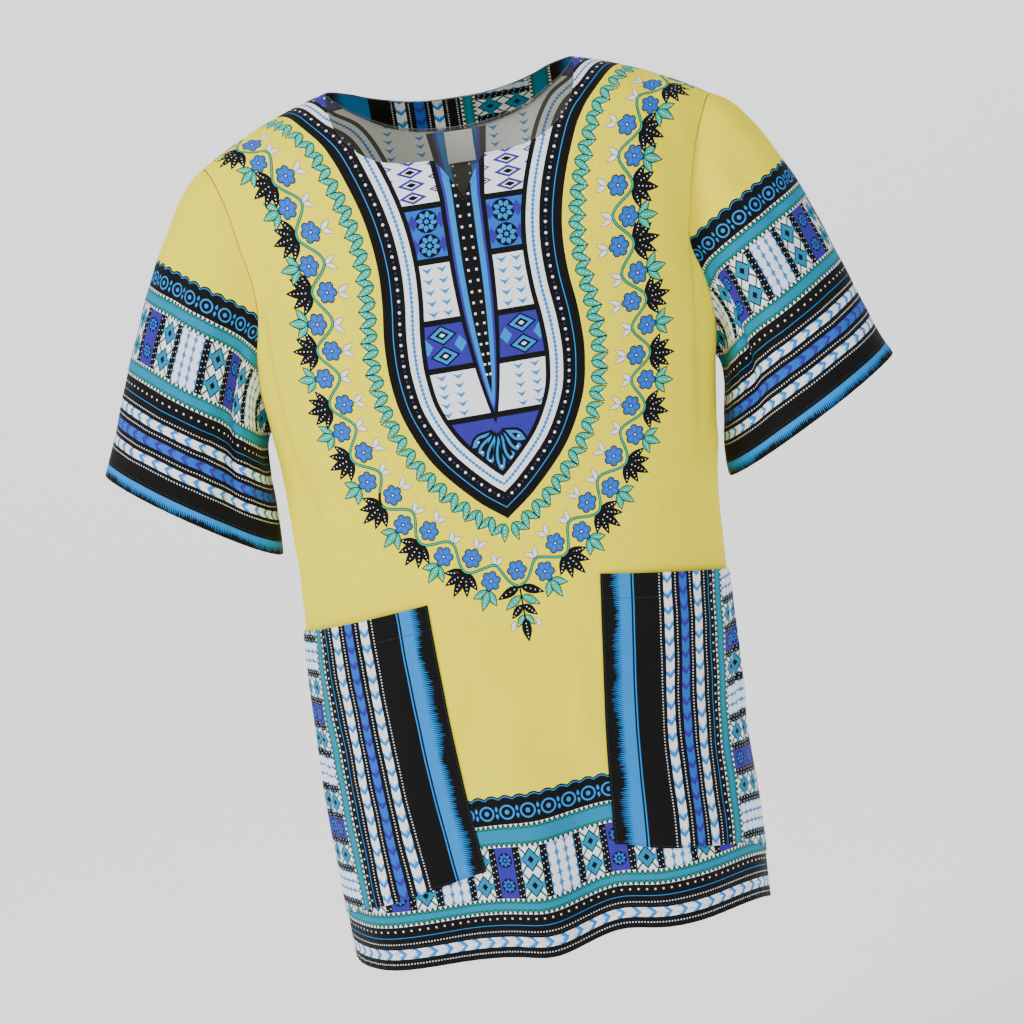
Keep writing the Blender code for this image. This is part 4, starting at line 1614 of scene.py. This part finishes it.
def lay_out(mesh, flat, faces, count, triangles):
    """Two UV maps: the flat cut in metres, and a bake map whose parts don't overlap."""
    corners = faces.ravel()
    cloth = mesh.uv_layers.new(name="Cloth")
    cloth.data.foreach_set("uv", flat[corners % count].astype(np.float32).ravel())
    bake = mesh.uv_layers.new(name="OFBake")
    places = np.concatenate([bake_layout(flat, 0), bake_layout(flat, 1)])[corners]
    rim = np.arange(6 * triangles, len(corners))
    strip = (rim - 6 * triangles) // 3 / max(1, len(rim) // 3)
    corner = rim % 3
    across = 0.01 + 0.97 * strip + 0.00002 * (corner == 1)
    places[rim] = np.stack([across, 0.004 + 0.012 * (corner == 2)], -1)
    bake.data.foreach_set("uv", places.astype(np.float32).ravel())


# %% [markdown]
# ## Cotton
#
# One node group makes the plain weave: fine threads both ways and slightly uneven streaks.
# Every printed material shares it, and each material mixes in the reverse's fading itself.

# %% Cotton materials
WEAVE_PITCH = 0.00042
BARE_CLOTH = (0.80, 0.81, 0.84, 1.0)


def new_group(name, inputs, outputs):
    group = bpy.data.node_groups.new(name, "ShaderNodeTree")
    for label, kind in inputs:
        group.interface.new_socket(label, in_out="INPUT", socket_type=kind)
    for label, kind in outputs:
        group.interface.new_socket(label, in_out="OUTPUT", socket_type=kind)
    return group, group.nodes.new("NodeGroupInput"), group.nodes.new("NodeGroupOutput")


def math_node(tree, operation, first, second=None):
    node = tree.nodes.new("ShaderNodeMath")
    node.operation = operation
    for socket, value in zip(node.inputs, (first, second)):
        if value is None:
            continue
        if isinstance(value, (int, float)):
            socket.default_value = value
        else:
            tree.links.new(value, socket)
    return node.outputs[0]


def streaks(tree, vector, stretch, detail):
    """Noise drawn out along the threads of one direction."""
    scale = tree.nodes.new("ShaderNodeMapping")
    scale.inputs["Scale"].default_value = stretch
    tree.links.new(vector, scale.inputs["Vector"])
    noise = tree.nodes.new("ShaderNodeTexNoise")
    noise.inputs["Scale"].default_value = 1.0
    noise.inputs["Detail"].default_value = detail
    tree.links.new(scale.outputs[0], noise.inputs["Vector"])
    return noise.outputs[0]


def weave_group():
    """Outputs the thread height of a plain weave, and an uneven tone near 1."""
    group, given, result = new_group(
        "Plain weave",
        (("Cloth", "NodeSocketVector"),),
        (("Height", "NodeSocketFloat"), ("Tone", "NodeSocketFloat")),
    )
    split = group.nodes.new("ShaderNodeSeparateXYZ")
    group.links.new(given.outputs["Cloth"], split.inputs[0])
    waves = []
    for axis in (0, 1):
        turns = math_node(group, "MULTIPLY", split.outputs[axis], math.pi / WEAVE_PITCH)
        waves.append(math_node(group, "SINE", turns))
    over = math_node(group, "MULTIPLY", waves[0], waves[1])
    warp = math_node(group, "ABSOLUTE", waves[0])
    weft = math_node(group, "ABSOLUTE", waves[1])
    both = math_node(group, "MULTIPLY", warp, weft)
    crossed = math_node(group, "ADD", both, math_node(group, "MULTIPLY", over, 0.4))
    fine_warp = streaks(group, given.outputs["Cloth"], (1700, 55, 1), 2.0)
    fine_weft = streaks(group, given.outputs["Cloth"], (55, 1700, 1), 2.0)
    uneven = math_node(group, "ADD", fine_warp, fine_weft)
    height = math_node(group, "ADD", crossed, uneven)
    tone = math_node(group, "ADD", math_node(group, "MULTIPLY", uneven, 0.22), 0.78)
    group.links.new(height, result.inputs["Height"])
    group.links.new(tone, result.inputs["Tone"])
    return group


def cotton_material(name, weave, fade):
    """Printed cotton. fade is how far the colour has gone towards bare greyish cloth."""
    material = bpy.data.materials.new(name)
    material.use_nodes = True
    tree = material.node_tree
    shader = tree.nodes["Principled BSDF"]
    shader.inputs["Roughness"].default_value = 0.82
    shader.inputs["Specular IOR Level"].default_value = 0.12
    shader.inputs["Sheen Weight"].default_value = 0.03
    shader.inputs["Sheen Roughness"].default_value = 0.5
    where = tree.nodes.new("ShaderNodeUVMap")
    where.uv_map = "Cloth"
    threads = tree.nodes.new("ShaderNodeGroup")
    threads.node_tree = weave
    tree.links.new(where.outputs[0], threads.inputs["Cloth"])
    colour = tree.nodes.new("ShaderNodeAttribute")
    colour.attribute_name = "print"
    faded = tree.nodes.new("ShaderNodeMix")
    faded.data_type = "RGBA"
    faded.inputs[0].default_value = fade
    faded.inputs[7].default_value = BARE_CLOTH
    tree.links.new(colour.outputs["Color"], faded.inputs[6])
    toned = tree.nodes.new("ShaderNodeVectorMath")
    toned.operation = "SCALE"
    tree.links.new(faded.outputs[2], toned.inputs[0])
    tree.links.new(threads.outputs["Tone"], toned.inputs["Scale"])
    tree.links.new(toned.outputs[0], shader.inputs["Base Color"])
    bump = tree.nodes.new("ShaderNodeBump")
    bump.inputs["Strength"].default_value = 0.25
    bump.inputs["Distance"].default_value = 0.00012
    tree.links.new(threads.outputs["Height"], bump.inputs["Height"])
    tree.links.new(bump.outputs[0], shader.inputs["Normal"])
    return material


WEAVE = weave_group()
PRINTED = cotton_material("printed cotton", WEAVE, 0.0)
REVERSE = cotton_material("printed cotton reverse", WEAVE, 0.14)
BORDER = cotton_material("border cotton", WEAVE, 0.0)
BORDER_REVERSE = cotton_material("border cotton reverse", WEAVE, 0.14)
WOVEN = cotton_material("woven label", WEAVE, 0.0)

# %% [markdown]
# ## The pieces
#
# Now every flat cut is printed, draped and made into cloth.

# %% Cut and drape the pieces
def panel_to_world(panel):
    return lambda px, py, lift: drape(px, py, panel, lift)


def pocket_to_world(side):
    return lambda px, py, lift: drape(px, py, FRONT, lift + pocket_lift(px, py, side))


def sleeve_to_world(side):
    return lambda s, v, lift: drape_sleeve(s, v, side, lift)


def make_panel(name, panel, art):
    outline = panel_outline(panel)
    return make_cloth(name, outline, art, panel_to_world(panel), (PRINTED, REVERSE), flip=-panel)


def make_sleeve(name, side, art):
    outline = sleeve_outline(side)
    return make_cloth(name, outline, art, sleeve_to_world(side), (PRINTED, REVERSE), flip=-side)


def make_pocket(name, side, art):
    outline = pocket_outline(side)
    return make_cloth(name, outline, art, pocket_to_world(side), (BORDER, BORDER_REVERSE))


def facing_to_world(px, py, lift):
    return drape(px, py, BACK, FACING_LAYER - lift)


def label_to_world(px, py, lift):
    return drape(px, py, BACK, LABEL_LAYER - lift)


FRONT_PRINT, BACK_PRINT = body_print(BLOCKS), body_print(BACK_BLOCKS)
SLEEVE_PRINT = sleeve_print()
front_panel = make_panel("front panel", FRONT, FRONT_PRINT)
back_panel = make_panel("back panel", BACK, BACK_PRINT)
sleeves = {
    side: make_sleeve(name, side, SLEEVE_PRINT)
    for side, name in ((-1, "right sleeve"), (1, "left sleeve"))
}
pockets = {
    side: make_pocket(name, side, pocket_print(side))
    for side, name in ((-1, "right pocket"), (1, "left pocket"))
}
facing = make_cloth(
    "neck facing",
    facing_outline(),
    facing_print(),
    facing_to_world,
    (BORDER, BORDER_REVERSE),
    thickness=THIN_CLOTH,
)
label = make_cloth(
    "neck label",
    label_outline(),
    Print(ground="white"),
    label_to_world,
    (WOVEN,),
    thickness=THIN_CLOTH,
    step=0.004,
)

# %% [markdown]
# ## Stitches
#
# One node group lays short stitches along a curve, and another lays one winding thread. The lines
# are drawn on the flat cut a little inside the edges, draped, and turned into meshes.

# %% Stitches
THREAD = 0.00022
STITCH_STEP = 0.0032


def geometry_group(name, inputs):
    group = bpy.data.node_groups.new(name, "GeometryNodeTree")
    group.interface.new_socket("Curve", in_out="INPUT", socket_type="NodeSocketGeometry")
    for label, kind in inputs:
        group.interface.new_socket(label, in_out="INPUT", socket_type=kind)
    group.interface.new_socket("Stitches", in_out="OUTPUT", socket_type="NodeSocketGeometry")
    return group, group.nodes.new("NodeGroupInput"), group.nodes.new("NodeGroupOutput")


def finish_group(group, geometry, given, result):
    """End a group with realized instances and the thread's material."""
    real = group.nodes.new("GeometryNodeRealizeInstances")
    dress = group.nodes.new("GeometryNodeSetMaterial")
    group.links.new(geometry, real.inputs["Geometry"])
    group.links.new(real.outputs["Geometry"], dress.inputs["Geometry"])
    group.links.new(given.outputs["Thread"], dress.inputs["Material"])
    group.links.new(dress.outputs["Geometry"], result.inputs["Stitches"])


def running_stitch_group():
    group, given, result = geometry_group(
        "Running stitches",
        (
            ("Spacing", "NodeSocketFloat"),
            ("Thickness", "NodeSocketFloat"),
            ("Seed", "NodeSocketInt"),
            ("Thread", "NodeSocketMaterial"),
        ),
    )
    link = group.links.new
    even = group.nodes.new("GeometryNodeResampleCurve")
    even.mode = "LENGTH"
    link(given.outputs["Curve"], even.inputs["Curve"])
    link(given.outputs["Spacing"], even.inputs["Length"])
    tangent = group.nodes.new("GeometryNodeInputTangent")
    align = group.nodes.new("FunctionNodeAlignRotationToVector")
    align.axis = "X"
    link(tangent.outputs[0], align.inputs["Vector"])
    grain = group.nodes.new("GeometryNodeMeshUVSphere")
    grain.inputs["Segments"].default_value = 6
    grain.inputs["Rings"].default_value = 4
    grain.inputs["Radius"].default_value = 1.0
    chance = group.nodes.new("FunctionNodeRandomValue")
    chance.inputs[2].default_value = 0.30
    chance.inputs[3].default_value = 0.38
    link(given.outputs["Seed"], chance.inputs["Seed"])
    length = math_node(group, "MULTIPLY", chance.outputs[1], given.outputs["Spacing"])
    size = group.nodes.new("ShaderNodeCombineXYZ")
    link(length, size.inputs[0])
    link(given.outputs["Thickness"], size.inputs[1])
    link(given.outputs["Thickness"], size.inputs[2])
    place = group.nodes.new("GeometryNodeInstanceOnPoints")
    link(even.outputs["Curve"], place.inputs["Points"])
    link(grain.outputs["Mesh"], place.inputs["Instance"])
    link(align.outputs[0], place.inputs["Rotation"])
    link(size.outputs[0], place.inputs["Scale"])
    finish_group(group, place.outputs["Instances"], given, result)
    return group


def winding_thread_group():
    group, given, result = geometry_group(
        "Winding thread", (("Thickness", "NodeSocketFloat"), ("Thread", "NodeSocketMaterial"))
    )
    profile = group.nodes.new("GeometryNodeCurvePrimitiveCircle")
    profile.inputs["Resolution"].default_value = 5
    group.links.new(given.outputs["Thickness"], profile.inputs["Radius"])
    tube = group.nodes.new("GeometryNodeCurveToMesh")
    tube.inputs["Fill Caps"].default_value = True
    group.links.new(given.outputs["Curve"], tube.inputs["Curve"])
    group.links.new(profile.outputs[0], tube.inputs["Profile Curve"])
    finish_group(group, tube.outputs["Mesh"], given, result)
    return group


def thread_material(name, colour):
    material = bpy.data.materials.new(name)
    material.use_nodes = True
    shader = material.node_tree.nodes["Principled BSDF"]
    shader.inputs["Base Color"].default_value = (*colour, 1.0)
    shader.inputs["Roughness"].default_value = 0.7
    return material


def sew(name, lines, group, values):
    """Stitches along lines of world points, as one mesh."""
    curve = bpy.data.curves.new(name, "CURVE")
    curve.dimensions = "3D"
    for points in lines:
        spline = curve.splines.new("POLY")
        spline.points.add(len(points) - 1)
        weighted = np.concatenate([points, np.ones((len(points), 1))], 1)
        spline.points.foreach_set("co", weighted.ravel())
    guide = bpy.data.objects.new(name + " guide", curve)
    bpy.context.scene.collection.objects.link(guide)
    modifier = guide.modifiers.new("stitches", "NODES")
    modifier.node_group = group
    for item in group.interface.items_tree:
        if item.in_out == "INPUT" and item.name in values:
            modifier[item.identifier] = values[item.name]
    bpy.context.view_layer.update()
    made = guide.evaluated_get(bpy.context.evaluated_depsgraph_get())
    mesh = bpy.data.meshes.new_from_object(made)
    bpy.data.objects.remove(guide)
    bpy.data.curves.remove(curve)
    stitches = bpy.data.objects.new(name, mesh)
    bpy.context.scene.collection.objects.link(stitches)
    print(f"{name}: {len(mesh.polygons)} faces of thread")
    return stitches


def flat_line(points, to_world, lift):
    """A line on a flat cut, divided finely and draped just above the cloth."""
    points = smooth_path(points, 0.0016)
    return to_world(points[:, 0], points[:, 1], lift)


def neck_line(panel, inset=0.0022):
    """A line just inside the neck's edge."""
    right = np.stack(neckline(smooth(np.linspace(1, 0, 60)), panel), -1)
    line = np.concatenate([right, right[-2::-1] * (-1, 1)])
    way = np.gradient(line, axis=0)
    way /= np.linalg.norm(way, axis=1, keepdims=True)
    return line + np.stack([-way[:, 1], way[:, 0]], -1) * inset


RUNNING = running_stitch_group()
WINDING = winding_thread_group()
DARK_THREAD = thread_material("dark thread", (0.030, 0.034, 0.045))
GREY_THREAD = thread_material("grey thread", (0.42, 0.42, 0.43))
RUN = {"Spacing": STITCH_STEP, "Thickness": THREAD, "Seed": 3, "Thread": DARK_THREAD}
WIND = {"Thickness": 0.00017, "Thread": GREY_THREAD}
ABOVE = CLOTH / 2 + THREAD * 0.5


def level_line(half, height):
    return [(half * k, height) for k in (-1, -0.5, 0, 0.5, 1)]


def pocket_lines(side):
    """The sewn inner edge, the sewn bottom edge and the hem of the mouth."""
    inset = 0.0016
    low = POCKET_BOTTOM_PY + inset
    seam = PANEL_HALF - 0.003
    inner = [(pocket_inner(py) + inset, py) for py in (0.307, 0.25, 0.19, 0.13, low)]
    bottom = [(pocket_inner(low) + inset, low), (seam, low - POCKET_BOTTOM_DROP)]
    mouth = [(px, pocket_top(px, side) - MOUTH_HEM) for px in (0.078, 0.14, 0.20, seam)]
    return [np.array(line) * (side, 1) for line in (inner, bottom, mouth)]


def overlock_lines():
    """A thread that winds over the facing's lower edge, and one that runs along its upper turns."""
    px = np.arange(-0.128, 0.128, OVERLOCK_STEP / 4)
    turn = np.array([-0.0006, 0.0012, 0.0032, 0.0015])[np.arange(len(px)) % 4]
    winding = facing_to_world(px, facing_lower(px) + turn, OVERLOCK_LIFT)
    straight = facing_to_world(px, facing_lower(px) + turn.max(), OVERLOCK_LIFT + 0.0001)
    return [winding, straight]


MOUTH_HEM = 0.021
OVERLOCK_STEP = 0.0022
OVERLOCK_LIFT = 0.0005
CUFF_HEM = 0.0140
HEM_LINE = level_line(PANEL_HALF - 0.006, 0.0200)
body_threads = {}
for panel, name in ((FRONT, "front_stitches"), (BACK, "back_stitches")):
    lines = [flat_line(line, panel_to_world(panel), ABOVE) for line in (neck_line(panel), HEM_LINE)]
    body_threads[panel] = sew(name, lines, RUNNING, RUN)
cuff_threads, pocket_threads = {}, {}
for side, name in ((-1, "right"), (1, "left")):
    cuff_line = level_line(SLEEVE_ROUND / 2 - 0.004, CUFF_HEM)
    cuff = flat_line(cuff_line, sleeve_to_world(side), ABOVE)
    cuff_threads[side] = sew(name + "_cuff_stitches", [cuff], RUNNING, RUN)
    lines = [flat_line(line, pocket_to_world(side), ABOVE) for line in pocket_lines(side)]
    pocket_threads[side] = sew(name + "_pocket_stitches", lines, RUNNING, RUN)
overlock = sew("facing_overlock", overlock_lines(), WINDING, WIND)

# %% [markdown]
# ## What rides and what each piece stands for
#
# Nothing on a shirt turns on a joint, so every piece rides the root body. Each piece of cloth takes
# the place of the solid that it dresses, and that solid is hidden.

PARTS = (
    # piece, node, slot
    (front_panel, "front_panel", "printed_cotton"),
    (back_panel, "back_panel", "printed_cotton"),
    (sleeves[-1], "sleeve_right", "printed_cotton"),
    (sleeves[1], "sleeve_left", "printed_cotton"),
    (pockets[-1], "pocket_right", "border_cotton"),
    (pockets[1], "pocket_left", "border_cotton"),
    (facing, "neck_facing", "border_cotton"),
    (label, "neck_label", "woven_label"),
)
for piece, node, slot in PARTS:
    piece.name = node + "_cloth"
    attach(piece, "root")
    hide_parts(node)

THREADS = (
    # pieces, slot
    ([*body_threads.values(), *cuff_threads.values()], "printed_cotton"),
    ([*pocket_threads.values(), overlock], "border_cotton"),
)
for pieces, slot in THREADS:
    for piece in pieces:
        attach(piece, "root")

# %% [markdown]
# ## Studio
#
# A pale seamless floor, soft light from both sides and a camera at the photo's angle.

# %% Studio
CAMERA_TARGET = (-0.0053, 0.0, -0.3818)
CAMERA_DISTANCE = 2.8
CAMERA_AZIMUTH, CAMERA_ELEVATION = 1.0, 6.0
CAMERA_ROLL = 10.5
CAMERA_FOCAL = 111.8
FLOOR_Z = -1.05
FLOOR_FRONT = -4.5
FLOOR_RUN = 6.5
FLOOR_STRETCH = 5.0
FLOOR_HALF_WIDTH = 9.0
BEND_RADIUS = 1.6


def make_floor():
    """A floor that curves up behind the shirt into a backdrop."""
    bpy.ops.mesh.primitive_grid_add(x_subdivisions=2, y_subdivisions=40, size=2)
    floor = bpy.context.active_object
    floor.name = "backdrop"
    for point in floor.data.vertices:
        run = (point.co.y + 1) * FLOOR_STRETCH
        bend = max(0.0, run - FLOOR_RUN)
        turn = min(bend / BEND_RADIUS, math.pi / 2)
        past = max(0.0, bend - BEND_RADIUS * math.pi / 2)
        point.co.x *= FLOOR_HALF_WIDTH
        point.co.y = FLOOR_FRONT + min(run, FLOOR_RUN) + BEND_RADIUS * math.sin(turn)
        point.co.z = FLOOR_Z + BEND_RADIUS * (1 - math.cos(turn)) + past
    floor.data.shade_smooth()
    pale = bpy.data.materials.new("pale paper")
    pale.use_nodes = True
    paper = pale.node_tree.nodes["Principled BSDF"].inputs
    paper["Base Color"].default_value = (0.93, 0.93, 0.93, 1)
    paper["Roughness"].default_value = 0.9
    paper["Emission Color"].default_value = (1, 1, 1, 1)
    paper["Emission Strength"].default_value = 0.70
    floor.data.materials.append(pale)
    return floor


def add_light(name, place, target, power, size):
    light = bpy.data.lights.new(name, "AREA")
    light.energy = power
    light.size = size
    lamp = bpy.data.objects.new(name, light)
    lamp.location = place
    lamp.rotation_euler = (Vector(target) - Vector(place)).to_track_quat("-Z", "Y").to_euler()
    bpy.context.scene.collection.objects.link(lamp)
    return lamp


def add_camera():
    """The camera at the photo's angle, turned about its own axis as the photo is."""
    azimuth, elevation = math.radians(CAMERA_AZIMUTH), math.radians(CAMERA_ELEVATION)
    level = math.cos(elevation)
    way = Vector((math.sin(azimuth) * level, -math.cos(azimuth) * level, math.sin(elevation)))
    camera = bpy.data.objects.new("camera", bpy.data.cameras.new("camera"))
    camera.location = Vector(CAMERA_TARGET) + way * CAMERA_DISTANCE
    aim = (-way).to_track_quat("-Z", "Y").to_matrix().to_4x4()
    aim = aim @ Matrix.Rotation(math.radians(-CAMERA_ROLL), 4, "Z")
    camera.rotation_euler = aim.to_euler()
    camera.data.lens = CAMERA_FOCAL
    camera.data.sensor_width = 36
    bpy.context.scene.collection.objects.link(camera)
    bpy.context.scene.camera = camera
    return camera


floor = make_floor()
add_light("key", (-2.2, -2.0, 1.4), (0, 0, -0.3), 84, 1.1)
add_light("fill", (1.8, -2.2, 0.3), (0, 0, -0.4), 14, 2.0)
add_light("top", (0.0, -0.8, 1.7), (0, 0, -0.2), 20, 1.6)
world = bpy.data.worlds.new("studio")
world.use_nodes = True
world.node_tree.nodes["Background"].inputs["Color"].default_value = (1, 1, 1, 1)
world.node_tree.nodes["Background"].inputs["Strength"].default_value = 0.50
bpy.context.scene.world = world
add_camera()
